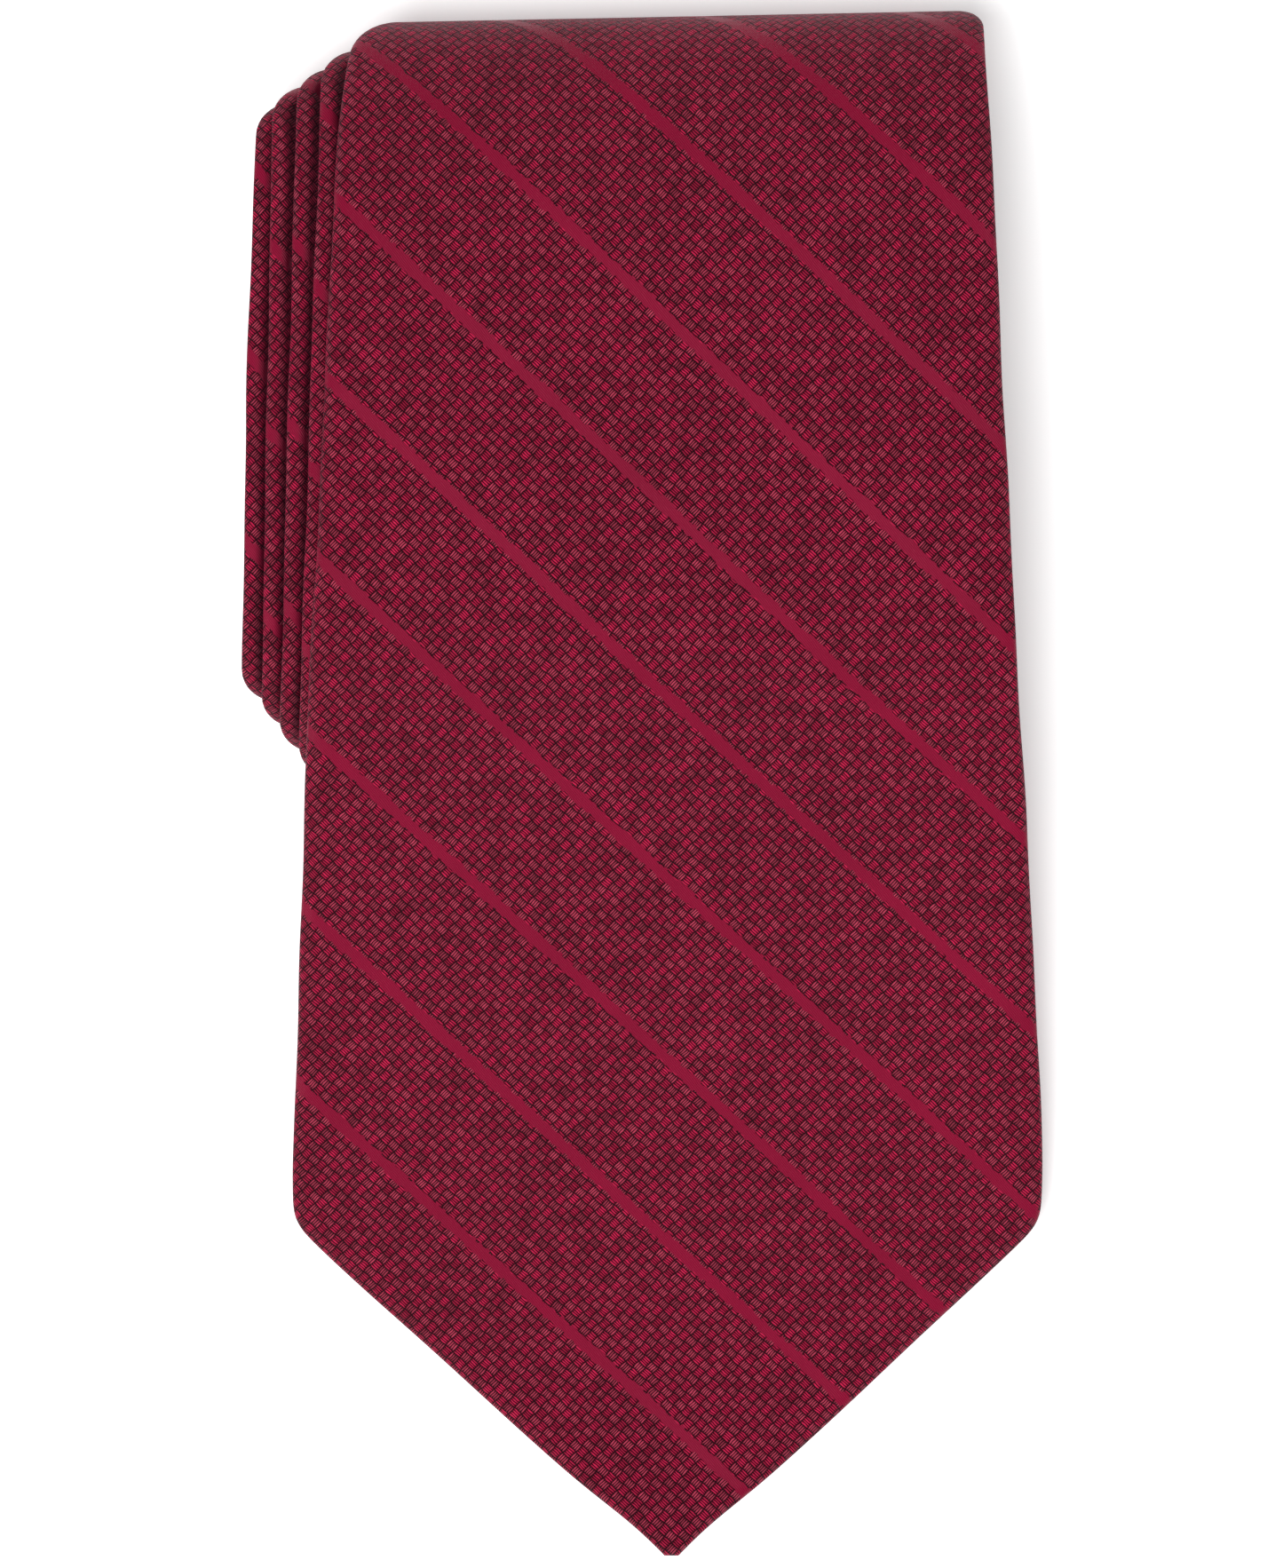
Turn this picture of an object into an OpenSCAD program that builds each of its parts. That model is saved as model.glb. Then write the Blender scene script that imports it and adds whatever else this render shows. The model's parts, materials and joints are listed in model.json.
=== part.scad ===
// A silk necktie, rolled flat for display and lying on a table with its blade on top.
// +Z is up, X runs across the blade, and the blade's point is towards -Y.
// Every ply follows one flattened spiral, the tie's own length, from the point of
// the blade, over the top fold and round the roll, to the point of the tail inside.

/* [Overall] */
// Length of the rolled tie, from its top fold to the point of the blade
overall_l = 171.6; // [160:1:210]
// Length of the roll, from its top fold to its bottom fold
roll_l = 84.9; // [80:0.5:104]
// Number of turns in the roll
turns = 9; // [6:1:10]
// Spacing of neighbouring plies in the roll
ply_pitch = 1.4; // [1.35:0.05:1.75]
// Open height left at the middle of the roll
core_gap = 2.8; // [2.6:0.1:6]

/* [Blade] */
// Widest width of the blade, at its shoulders
blade_w = 83; // [70:0.5:100]
// Distance from the point of the blade to its shoulders
blade_point = 38; // [32:1:46]
// Blade width lost per millimetre of length
blade_taper = 0.088; // [0.08:0.001:0.12]
// Width of the blunt end of each point
blunt_w = 2.4; // [2:0.1:4]

/* [Neck and tail] */
// Width of the neck
neck_w = 35.5; // [30:0.5:42]
// Widest width of the tail, at its shoulders
tail_w = 47; // [40:0.5:50]
// Distance from the point of the tail to its shoulders
tail_point = 21; // [16:1:26]
// Tail width lost per millimetre of length
tail_taper = 0.045; // [0.03:0.005:0.08]
// Distance from the point of the blade to the seam between blade and neck
blade_piece = 742; // [600:1:780]
// Length of the neck piece between its two seams
neck_piece = 318; // [200:1:360]

/* [Cloth] */
// Thickness of one ply of the finished tie
ply_t = 1.05; // [1.05:0.05:1.15]
// Thickness of the folded silk
shell_t = 0.22; // [0.16:0.01:0.22]
// Thickness of the interlining
lining_t = 0.38; // [0.26:0.01:0.38]
// Thickness of the tipping cloth
tipping_t = 0.1; // [0.06:0.01:0.1]
// Clearance between cloths in one ply
cloth_gap = 0.05; // [0.03:0.01:0.05]
// Half of the opening between the two flaps at the back seam
seam_half = 0.15; // [0.12:0.01:0.3]
// Width of the folded hem beside the tipping
hem_w = 9; // [6:0.5:12]
// Distance from the point to where the flaps of the blade meet
blade_meet = 58; // [50:1:66]
// Distance from the point to where the flaps of the tail meet
tail_meet = 34; // [30:1:40]
// Length of the tipping of the blade
blade_tipping_l = 90; // [70:1:96]
// Length of the tipping of the tail
tail_tipping_l = 60; // [45:1:90]
// Diameter of the sewing thread
thread_d = 0.16; // [0.12:0.01:0.2]

/* [Folding] */
// How far each turn steps in at the top fold
top_step = 2.3; // [2:0.05:2.6]
// How far each turn steps in at the bottom fold
bottom_step = 2.8; // [2.4:0.05:3.2]
// How far each of the first turns steps out to the left
side_step = 2.4; // [1:0.1:3]
// How far the rolled plies lean to the left towards the bottom fold, per millimetre
side_lean = 0.048; // [0:0.002:0.06]
// Extra height of the top ply over the ply below it
top_ply_lift = 0.8; // [0.6:0.1:1.5]
// Length of the blade that lies flat on the table at the point
point_rest = 18; // [12:1:24]
// Radius of the curve where the blade meets the table
toe_r = 60; // [30:5:90]
// Gap between the moving stretches of the blade at a fold line
fold_gap = 0.4; // [0.3:0.05:0.8]

/* [Keeper loop] */
// Distance from the point to the middle of the keeper loop
loop_at = 79; // [76:1:80]
// Free span of the keeper loop across the blade
loop_span = 38; // [30:1:44]
// Width of the strip that makes the keeper loop
loop_strip = 9; // [7:0.5:10]
// Depth that the slack keeper loop hangs clear of the blade
loop_slack = 8; // [7:0.5:8.5]
// Thickness of the strip that makes the keeper loop
loop_t = 0.7; // [0.5:0.05:0.9]
// Length of each sewn end of the keeper loop
loop_tab = 4; // [3:0.5:5]

/* [Labels] */
// Width of the blank label across the blade
label_w = 44; // [30:1:50]
// Height of the blank label along the blade
label_h = 24; // [16:1:28]
// Distance from the point to the nearer edge of the blank label
label_at = 112; // [108:1:116]
// Width of the blank care tag
tag_w = 15; // [10:1:20]
// Height of the blank care tag
tag_h = 11; // [8:1:14]
// Thickness of the woven labels
label_t = 0.2; // [0.1:0.02:0.25]

/* [Hidden] */

// Segments in each quarter of a turn, and the exponent that shapes the folds
quarter_steps = 6;
fold_power = 2.5;
fold_exp = 2 / fold_power;
// Share of the roll's height at which the folds are, outside and inside
pole_outer = 0.4;
pole_inner = 0.5;
pole_turns = 7;
// Reach of the under-side corners, outside, and what each turn takes off it
corner_reach = 15;
corner_less = 1.5;
corner_ratio = 3;
corner_min = 1.2;
// Turns that step out to the left, and how far each deeper turn steps back
stepped_turns = 4;
step_back = 1.0;
deep_step_less = 0.3;
// The top ply's own lower fold would lie this far below the roll's
free_reach = 2.6;

silk = [0.48, 0.13, 0.2];
wool = [0.9, 0.88, 0.82];
satin = [0.34, 0.08, 0.13];
cotton = [0.42, 0.1, 0.16];
damask = [0.12, 0.1, 0.11];
white_tape = [0.93, 0.92, 0.89];

y_top = overall_l / 2 - ply_t / 2;
y_tip = -overall_l / 2;
y_bottom = y_top + ply_t - roll_l;
roll_h = ply_t / 2 + 2 * ply_pitch * turns + core_gap;

// Heights of the plies, and the places of the folds, of turn k
function front_z(k) = roll_h - ply_pitch * k + (k == 0 ? top_ply_lift : 0);
function back_z(k) = ply_t / 2 + ply_pitch * k;
function deep(k) = max(0, k - stepped_turns) * deep_step_less;
function top_y(k) = y_top - top_step * k + deep(k);
function bottom_y(k) = k < 0 ? y_bottom - free_reach : y_bottom + bottom_step * k - deep(k);
function pole_share(k) = pole_outer + (pole_inner - pole_outer) * min(1, k / pole_turns);
function pole_z(k, next) = back_z(k) + (front_z(next) - back_z(k)) * pole_share(k);
function corner(k, h) = max(min(corner_reach - corner_less * k, corner_ratio * h), corner_min);
function apex_y(k) = (top_y(k) + bottom_y(k - 1)) / 2;

function signed_pow(v, e) = sign(v) * pow(abs(v), e);
function fold_point(cy, cz, ay, bz, ang, e) =
    [cy + ay * signed_pow(cos(ang), e), cz + bz * signed_pow(sin(ang), e)];
function quarter(cy, cz, ay, bz, a0, a1, e) =
    [for (i = [0:quarter_steps - 1]) fold_point(cy, cz, ay, bz, a0 + (a1 - a0) * i / quarter_steps, e)];

function top_fold(k) =
    let (zp = pole_z(k, k), c = corner(k, zp - back_z(k)), a = top_y(k) - apex_y(k))
    concat(quarter(top_y(k) - a, zp, a, front_z(k) - zp, 90, 0, fold_exp),
           quarter(top_y(k) - c, zp, c, zp - back_z(k), 0, -90, 1));
function bottom_fold(k) =
    let (zp = pole_z(k, k + 1), c = corner(k, zp - back_z(k)), a = apex_y(k + 1) - bottom_y(k))
    concat(quarter(bottom_y(k) + c, zp, c, zp - back_z(k), 270, 180, 1),
           quarter(bottom_y(k) + a, zp, a, front_z(k + 1) - zp, 180, 90, fold_exp));

// The free blade leaves the top ply's curve on a straight line to the table
free_a = apex_y(0) - bottom_y(-1);
free_zp = pole_z(0, 0);
free_b = front_z(0) - free_zp;
touch_y = y_tip + point_rest;
function free_point(ang) = fold_point(apex_y(0), free_zp, -free_a, free_b, ang, fold_exp);
function free_slope(ang) = free_b / free_a * pow(1 / tan(ang), 2 - fold_exp);
function meets_table(ang) = free_point(ang)[0] - (free_point(ang)[1] - ply_t / 2) / free_slope(ang);
function leave_angle(lo, hi, n) =
    let (mid = (lo + hi) / 2)
    n == 0 ? mid : meets_table(mid) > touch_y ? leave_angle(mid, hi, n - 1) : leave_angle(lo, mid, n - 1);
leave_ang = leave_angle(5, 88, 30);
leave = free_point(leave_ang);
slope = free_slope(leave_ang);
slope_ang = atan(slope);
toe_reach = toe_r * tan(slope_ang / 2);
toe_start = touch_y - toe_reach;
toe_end = touch_y + toe_reach * cos(slope_ang);
function free_z(y) =
    y < toe_start ? ply_t / 2 :
    y < toe_end ? ply_t / 2 + toe_r - sqrt(toe_r * toe_r - pow(y - toe_start, 2)) :
    leave[1] - (leave[0] - y) * slope;
point_marks = [0, 0.02, 0.07, 0.22, 0.4, 0.6, 0.8, 0.92, 0.97, 1, 1.03, 1.1];
point_run = blade_point * cos(slope_ang / 4);
free_start = y_tip + point_run * point_marks[len(point_marks) - 1];
free_steps = 9;
free_path = concat(
    [for (m = point_marks) [y_tip + point_run * m, free_z(y_tip + point_run * m)]],
    [for (i = [1:free_steps])
        let (y = free_start + (leave[0] - free_start) * i / free_steps) [y, free_z(y)]],
    [for (i = [1:3]) free_point(leave_ang + (90 - leave_ang) * i / 4)]);
path = concat(free_path, [for (k = [0:turns - 1]) each concat(top_fold(k), bottom_fold(k))]);

function running(p) =
    [for (i = 0, s = 0; i < len(p); i = i + 1, s = s + (i < len(p) ? norm(p[i] - p[i - 1]) : 0)) s];
dist = running(path);
tie_l = dist[len(dist) - 1];
last = len(path) - 1;

// Normal of each point, outwards, long enough to keep the ply's thickness round a fold
function unit(v) = v / norm(v);
function left_of(v) = [-v[1], v[0]];
function edge_normal(i) = left_of(unit(path[i + 1] - path[i]));
function point_normal(i) =
    i == 0 ? edge_normal(0) : i == last ? edge_normal(last - 1) :
    let (a = edge_normal(i - 1), b = edge_normal(i)) (a + b) / (1 + a * b);
normals = [for (i = [0:last]) point_normal(i)];

y_table = [for (i = [0:last]) [dist[i], path[i][0]]];
z_table = [for (i = [0:last]) [dist[i], path[i][1]]];
ny_table = [for (i = [0:last]) [dist[i], normals[i][0]]];
nz_table = [for (i = [0:last]) [dist[i], normals[i][1]]];
function place(s) = [lookup(s, y_table), lookup(s, z_table)];
function normal(s) = [lookup(s, ny_table), lookup(s, nz_table)];

// Turn number at a distance along the tie, counted from the top fold of the top ply. The
// highest point of a turn's face is this far before its fold.
apex_turn = 0.25;
first_turn = len(free_path);
turn_points = 4 * quarter_steps;
turn_table = [for (k = [0:turns]) [dist[min(last, first_turn + k * turn_points)], k - apex_turn]];
function turn_at(s) = lookup(s, turn_table);

// Width and place of the tie across X
function soft_max(a, b, c) = max(a, b) + c * ln(1 + exp(-abs(a - b) / c));
function soft_min(a, b, c) = -soft_max(-a, -b, c);
shoulder_soft = 0.3;
neck_soft = 3;
function half_w(s) =
    let (blade = blade_w / 2 - blade_taper / 2 * (s - blade_point),
         tail = tail_w / 2 - tail_taper / 2 * (tie_l - tail_point - s),
         body = soft_max(soft_max(blade, neck_w / 2 - 1, neck_soft), min(tail, tail_w / 2), neck_soft / 2),
         blade_tip = blunt_w / 2 + (blade_w - blunt_w) / 2 * s / blade_point,
         tail_tip = blunt_w / 2 + (tail_w - blunt_w) / 2 * (tie_l - s) / tail_point)
    soft_min(body, min(blade_tip, tail_tip), shoulder_soft);
function smooth(t) = let (u = max(0, min(1, t))) u * u * (3 - 2 * u);
roll_left = half_w(dist[first_turn]);
roll_middle = (y_top + y_bottom) / 2;
function left_edge(w) =
    let (n = w + apex_turn)
    -roll_left - side_step * min(n, stepped_turns) + step_back * max(0, n - stepped_turns);
drift_turns = 0.5;
function centre_raw(s) =
    let (w = turn_at(s), lean = side_lean * (place(s)[0] - roll_middle))
    smooth(w / drift_turns) * (left_edge(w) + lean + half_w(s));
edge_list = [for (i = [0:last]) centre_raw(dist[i]) - half_w(dist[i])];
x_shift = -(min(edge_list) + max([for (i = [0:last]) centre_raw(dist[i]) + half_w(dist[i])])) / 2;
function centre(s) = centre_raw(s) + x_shift;

// Fold lines of the moving blade, on the face of the ply
lift_at = dist[first_turn + 2];
bend_at = dist[len(free_path) - 4];
function face_point(s) = place(s) + normal(s) * ply_t / 2;

// Places along the tie between two distances
same_place = 0.06;
function cut(s0, s1) =
    concat([s0], [for (s = dist) if (s > s0 + same_place && s < s1 - same_place) s], [s1]);
function spot(s, x, n) = let (p = place(s) + normal(s) * n) [centre(s) + x, p[0], p[1]];

// Solid swept through rings that all have the same number of points. The end's
// triangles close one ring.
strip_end = [[0, 1, 2], [0, 2, 3]];
module skin(rings, end = strip_end) {
    m = len(rings[0]);
    last_ring = (len(rings) - 1) * m;
    faces = concat(
        end,
        [for (i = [0:len(rings) - 2], j = [0:m - 1])
            let (k = (j + 1) % m) each [[i * m + k, i * m + j, (i + 1) * m + j],
                                        [i * m + k, (i + 1) * m + j, (i + 1) * m + k]]],
        [for (t = end) [for (j = [2:-1:0]) last_ring + t[j]]]);
    polyhedron(points = [for (r = rings) each r], faces = faces, convexity = 20);
}

// Flat strip between two distances, from x0 to x1 across and n0 to n1 through the ply
module strip(s0, s1, x0, x1, n0, n1)
    skin([for (s = cut(s0, s1)) [spot(s, x0, n0), spot(s, x1, n0), spot(s, x1, n1), spot(s, x0, n1)]]);

// Half of the opening at the back seam, which widens to a V at each point
function opening(s) =
    let (from_tail = tie_l - s,
         blade_v = min(half_w(s) - hem_w, blade_meet - s),
         tail_v = min(half_w(s) - hem_w, tail_meet - from_tail))
    max(seam_half, s < tie_l / 2 ? blade_v : tail_v);

// One ring of the folded silk: round the outside, in at the seam and back round the inside
function silk_ring(s) =
    let (h = half_w(s), r = ply_t / 2, q = r * 0.7, g = opening(s),
         hi = h - shell_t, ri = r - shell_t, qi = ri * 0.7)
    [spot(s, g, -r), spot(s, h - r, -r), spot(s, h - r + q, -q), spot(s, h, 0),
     spot(s, h - r + q, q), spot(s, h - r, r), spot(s, r - h, r), spot(s, r - q - h, q),
     spot(s, -h, 0), spot(s, r - q - h, -q), spot(s, r - h, -r), spot(s, -g, -r),
     spot(s, -g, -ri), spot(s, ri - hi, -ri), spot(s, ri - qi - hi, 0), spot(s, ri - hi, ri),
     spot(s, hi - ri, ri), spot(s, hi - ri + qi, 0), spot(s, hi - ri, -ri), spot(s, g, -ri)];
silk_end = [[0, 1, 18], [0, 18, 19], [1, 2, 17], [1, 17, 18], [2, 3, 17], [3, 4, 17],
            [4, 5, 17], [5, 16, 17], [5, 6, 16], [6, 15, 16], [6, 7, 15], [7, 14, 15],
            [7, 8, 14], [8, 9, 14], [9, 10, 14], [10, 13, 14], [10, 11, 13], [11, 12, 13]];
module folded_silk(s0, s1) color(silk) skin([for (s = cut(s0, s1)) silk_ring(s)], silk_end);

lining_top = ply_t / 2 - shell_t - cloth_gap;
lining_inset = ply_t / 2 + cloth_gap;
function lining_half(s) = half_w(s) - lining_inset;
module interlining(s0, s1) {
    n1 = lining_top;
    n0 = lining_top - lining_t;
    color(wool) skin([for (s = cut(s0, s1)) let (h = lining_half(s))
        [spot(s, -h, n0), spot(s, h, n0), spot(s, h, n1), spot(s, -h, n1)]]);
}
module tipping(s0, s1) {
    n1 = lining_top - lining_t - cloth_gap;
    n0 = n1 - tipping_t;
    color(satin) skin([for (s = cut(s0, s1)) let (h = lining_half(s))
        [spot(s, -h, n0), spot(s, h, n0), spot(s, h, n1), spot(s, -h, n1)]]);
}
module slip_stitch(s0, s1)
    color(cotton) strip(s0, s1, -thread_d / 2, thread_d / 2, -ply_t / 2, thread_d - ply_t / 2);
// Thread of a seam between two pieces, whole across the face and in two halves behind
seam_inset = 2;
seam_n = (ply_t - shell_t) / 2;
module seam_thread(s, x0, x1, n)
    strip(s - thread_d / 2, s + thread_d / 2, x0, x1, n - thread_d / 2, n + thread_d / 2);
module joining_seam(s)
    color(cotton) {
        reach = half_w(s) - seam_inset;
        seam_thread(s, -reach, reach, seam_n);
        seam_thread(s, -reach, -2 * seam_half, -seam_n);
        seam_thread(s, 2 * seam_half, reach, -seam_n);
    }

neck_at = blade_piece;
tail_at = blade_piece + neck_piece;
half_gap = fold_gap / 2;
lining_start = 6;
stitch_start = blade_meet + 1;
module blade_shell_apron() folded_silk(0, bend_at - half_gap);
module blade_shell_panel() folded_silk(bend_at + half_gap, lift_at - half_gap);
module blade_shell_rolled() folded_silk(lift_at + half_gap, neck_at - half_gap);
module neck_shell() folded_silk(neck_at + half_gap, tail_at - half_gap);
module tail_shell() folded_silk(tail_at + half_gap, tie_l);
module interlining_apron() interlining(lining_start, bend_at - half_gap);
module interlining_panel() interlining(bend_at + half_gap, lift_at - half_gap);
module interlining_rolled() interlining(lift_at + half_gap, tie_l - lining_start);
module blade_tipping() tipping(lining_start, blade_tipping_l);
module tail_tipping() tipping(tie_l - tail_tipping_l, tie_l - lining_start);
module blade_neck_seam() joining_seam(neck_at);
module neck_tail_seam() joining_seam(tail_at);
module slip_stitch_apron() slip_stitch(stitch_start, bend_at - half_gap);
module slip_stitch_panel() slip_stitch(bend_at + half_gap, lift_at - half_gap);
module slip_stitch_rolled() slip_stitch(lift_at + half_gap, tie_l - tail_meet - 1);

// Bar of thread across the back seam, where the flaps meet
tack_l = 6;
tack_w = 1.2;
tack_t = 0.1;
under = -ply_t / 2 - cloth_gap;
module bar_tack(s)
    color(cotton) strip(s - tack_w / 2, s + tack_w / 2, -tack_l / 2, tack_l / 2, under - tack_t, under);
module blade_bar_tack() bar_tack(blade_meet + 4);
module tail_bar_tack() bar_tack(tie_l - tail_meet - 4);

// Slack loop of the tie's own silk, sewn to the back of the blade at both ends
loop_power = 4;
loop_steps = 12;
function loop_n(x) = under - loop_slack * (1 - pow(abs(x) / (loop_span / 2), loop_power));
function loop_rise(x) =
    loop_slack * loop_power * pow(abs(x) / (loop_span / 2), loop_power - 1) / (loop_span / 2) * sign(x);
function loop_in(i) = let (x = loop_span * (i / (2 * loop_steps) - 0.5)) [x, loop_n(x)];
function loop_out(i) = let (p = loop_in(i), d = unit([loop_rise(p[0]), -1])) p + loop_t * d;
loop_tab_x = loop_span / 2 + loop_tab;
loop_outline = concat(
    [[-loop_tab_x, under]], [for (i = [0:2 * loop_steps]) loop_in(i)], [[loop_tab_x, under]],
    [[loop_tab_x, under - loop_t]], [for (i = [2 * loop_steps:-1:0]) loop_out(i)],
    [[-loop_tab_x, under - loop_t]]);
module on_apron(s)
    translate([centre(s), place(s)[0], place(s)[1]]) rotate([slope_ang, 0, 0]) children();
module keeper_loop()
    color(silk) on_apron(loop_at) rotate([90, 0, 0])
        linear_extrude(height = loop_strip, center = true) polygon(loop_outline);
keeper_tack_l = loop_strip - 2;
module keeper_tacks()
    color(cotton) for (side = [-1, 1])
        strip(loop_at - keeper_tack_l / 2, loop_at + keeper_tack_l / 2,
              side * (loop_tab_x - 1) - tack_w / 4, side * (loop_tab_x - 1) + tack_w / 4,
              under - loop_t - cloth_gap - tack_t, under - loop_t - cloth_gap);

// Blank woven label and blank care tag on the back of the blade
label_end = label_at + label_h;
tag_at = label_end + 1;
module blank_label()
    color(damask) strip(label_at, label_end, -label_w / 2, label_w / 2, under - label_t, under);
stitch_l = 1.6;
stitch_inset = 1.2;
module label_stitches()
    color(cotton) for (end = [-1, 1], side = [-1, 0, 1])
        let (s = (label_at + label_end) / 2 + side * (label_h / 2 - stitch_inset - stitch_l))
        strip(s - stitch_l / 2, s + stitch_l / 2,
              end * (label_w / 2 - stitch_inset) - thread_d / 2, end * (label_w / 2 - stitch_inset) + thread_d / 2,
              under - label_t - cloth_gap - tack_t, under - label_t - cloth_gap);
module care_tag()
    color(white_tape) strip(tag_at, tag_at + tag_h, -tag_w / 2, tag_w / 2, under - label_t, under);

echo(tie_l = tie_l, roll_h = roll_h, slope_ang = slope_ang, x_shift = x_shift);
echo(lift_axis = face_point(lift_at), bend_axis = face_point(bend_at), lift_at = lift_at, bend_at = bend_at);

blade_shell_apron();
blade_shell_panel();
blade_shell_rolled();
neck_shell();
tail_shell();
interlining_apron();
interlining_panel();
interlining_rolled();
blade_tipping();
tail_tipping();
blade_neck_seam();
neck_tail_seam();
slip_stitch_apron();
slip_stitch_panel();
slip_stitch_rolled();
blade_bar_tack();
tail_bar_tack();
keeper_loop();
keeper_tacks();
blank_label();
label_stitches();
care_tag();
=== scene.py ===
"""A silk necktie, rolled flat for display with its blade on top.

Every ply follows one flattened spiral, the tie's own length, from the point of the
blade, over the top fold and round the roll, to the point of the tail inside. Sizes
are in millimetres and become metres in world() and flat_on_blade(). Along every
piece s is the distance from the blade's point, x is across the tie and n is out
through the ply.
"""

import json
import math

import bpy
import numpy as np
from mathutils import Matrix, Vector

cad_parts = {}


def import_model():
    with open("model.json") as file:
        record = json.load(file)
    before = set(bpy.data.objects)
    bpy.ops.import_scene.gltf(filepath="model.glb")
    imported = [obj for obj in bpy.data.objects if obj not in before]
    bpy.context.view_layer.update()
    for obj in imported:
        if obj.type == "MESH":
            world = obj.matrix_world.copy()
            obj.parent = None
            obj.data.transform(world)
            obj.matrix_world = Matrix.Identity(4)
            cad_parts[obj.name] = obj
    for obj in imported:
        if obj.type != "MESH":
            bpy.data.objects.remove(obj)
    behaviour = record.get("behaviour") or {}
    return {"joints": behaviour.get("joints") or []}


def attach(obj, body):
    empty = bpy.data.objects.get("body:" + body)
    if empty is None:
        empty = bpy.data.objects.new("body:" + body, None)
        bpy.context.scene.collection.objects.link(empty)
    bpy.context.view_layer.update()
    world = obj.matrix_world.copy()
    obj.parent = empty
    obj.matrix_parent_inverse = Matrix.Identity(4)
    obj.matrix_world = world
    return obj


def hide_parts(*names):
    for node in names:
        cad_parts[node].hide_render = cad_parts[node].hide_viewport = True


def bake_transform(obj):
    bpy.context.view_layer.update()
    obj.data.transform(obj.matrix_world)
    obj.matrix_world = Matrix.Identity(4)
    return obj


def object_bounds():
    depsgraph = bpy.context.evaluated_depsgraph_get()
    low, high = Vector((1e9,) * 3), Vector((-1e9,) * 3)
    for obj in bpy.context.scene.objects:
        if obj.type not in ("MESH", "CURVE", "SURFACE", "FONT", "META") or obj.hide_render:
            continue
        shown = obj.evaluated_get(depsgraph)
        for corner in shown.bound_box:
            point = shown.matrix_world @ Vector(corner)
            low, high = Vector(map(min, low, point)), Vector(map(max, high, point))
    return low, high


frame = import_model()
CAD_LOW, CAD_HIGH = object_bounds()
MM = 0.001

# ---------------------------------------------------------------- sizes of the tie
OVERALL_L = (CAD_HIGH.y - CAD_LOW.y) / MM
ROLL_L = 84.9
TURNS = 9
PLY_PITCH = 1.4
CORE_GAP = 2.8
BLADE_W = 83.0
BLADE_POINT = 38.0
BLADE_TAPER = 0.088
BLUNT_W = 2.4
NECK_W = 35.5
TAIL_W = 47.0
TAIL_POINT = 21.0
TAIL_TAPER = 0.045
BLADE_PIECE = 742.0
NECK_END = BLADE_PIECE + 318.0

PLY_R = 0.525            # half the thickness of a ply as designed
GROOVE_DEPTH, GROOVE_FROM_EDGE, GROOVE_WIDTH = 0.55, 2.6, 0.6
TOP_STEP = 2.3
TOP_NUDGE = (0.0, -0.6, -0.25, 0.15, 0.6)    # the folds aren't pressed in quite even steps
BOTTOM_STEP = 2.8
SIDE_STEP = 2.4
STEP_BACK = 1.0
SIDE_LEAN, DEEP_LEAN_LESS = 0.048, 0.4
APEX_TURN = 0.25
STEPPED_TURNS = 4
DEEP_STEP_LESS = 0.3
TOP_PLY_LIFT = 0.8
POINT_REST = 18.0
TOE_R = 60.0
FREE_REACH = 2.6
FOLD_EXP = 0.8
POLE_OUTER, POLE_INNER = 0.4, 0.5
CORNER_REACH, CORNER_LESS, CORNER_RATIO, CORNER_MIN = 15.0, 1.5, 3.0, 1.2
QUARTER_STEPS = 24

# Cloth as it looks, pressed and plump
WALL = 0.22              # the silk itself
SEAM_HALF = 0.06
THREAD_GAP = 0.03        # how far sewn-on things stand off the back of the cloth
EDGE_POWER = 0.85        # squareness of the silk's pressed edges
HEM_W = 9.0
BLADE_MEET = 58.0
TAIL_MEET = 34.0
BLADE_TIPPING_L = 90.0
TAIL_TIPPING_L = 60.0
CLOTH_GAP = 0.05

LOOP_AT, LOOP_SPAN, LOOP_STRIP, LOOP_SLACK = 79.0, 38.0, 9.0, 8.0
LOOP_T, LOOP_TAB, LOOP_WALL = 0.7, 4.0, 0.2
LABEL_AT, LABEL_W, LABEL_H, LABEL_T = 112.0, 44.0, 24.0, 0.2
TAG_W, TAG_H = 15.0, 11.0

# Places along the tie where one visible piece ends and the next begins
APRON_END = 128.0
PANEL_END = 178.0

Y_TOP = OVERALL_L / 2 - PLY_R
Y_TIP = -OVERALL_L / 2
Y_BOTTOM = Y_TOP + 2 * PLY_R - ROLL_L
ROLL_H = PLY_R + 2 * PLY_PITCH * TURNS + CORE_GAP


# ---------------------------------------------------------------- the tie's run
def front_z(k):
    return ROLL_H - PLY_PITCH * k + (TOP_PLY_LIFT if k == 0 else 0)


def back_z(k):
    return PLY_R + PLY_PITCH * k


def deep(k):
    return max(0, k - STEPPED_TURNS) * DEEP_STEP_LESS


def top_y(k):
    return Y_TOP - TOP_STEP * k + deep(k) + TOP_NUDGE[min(k, 4)]


def bottom_y(k):
    return Y_BOTTOM - FREE_REACH if k < 0 else Y_BOTTOM + BOTTOM_STEP * k - deep(k)


def pole_z(k, facing):
    share = POLE_OUTER + (POLE_INNER - POLE_OUTER) * min(1, k / 7)
    return back_z(k) + (front_z(facing) - back_z(k)) * share


def corner(k, height):
    return max(min(CORNER_REACH - CORNER_LESS * k, CORNER_RATIO * height), CORNER_MIN)


def apex_y(k):
    return (top_y(k) + bottom_y(k - 1)) / 2


def signed_pow(v, e):
    return math.copysign(abs(v) ** e, v)


def quarter(cy, cz, ay, bz, a0, a1, e):
    """Points of a quarter of a superellipse, all but its last."""
    angles = [math.radians(a0 + (a1 - a0) * i / QUARTER_STEPS) for i in range(QUARTER_STEPS)]
    return [(cy + ay * signed_pow(math.cos(a), e), cz + bz * signed_pow(math.sin(a), e))
            for a in angles]


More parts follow.
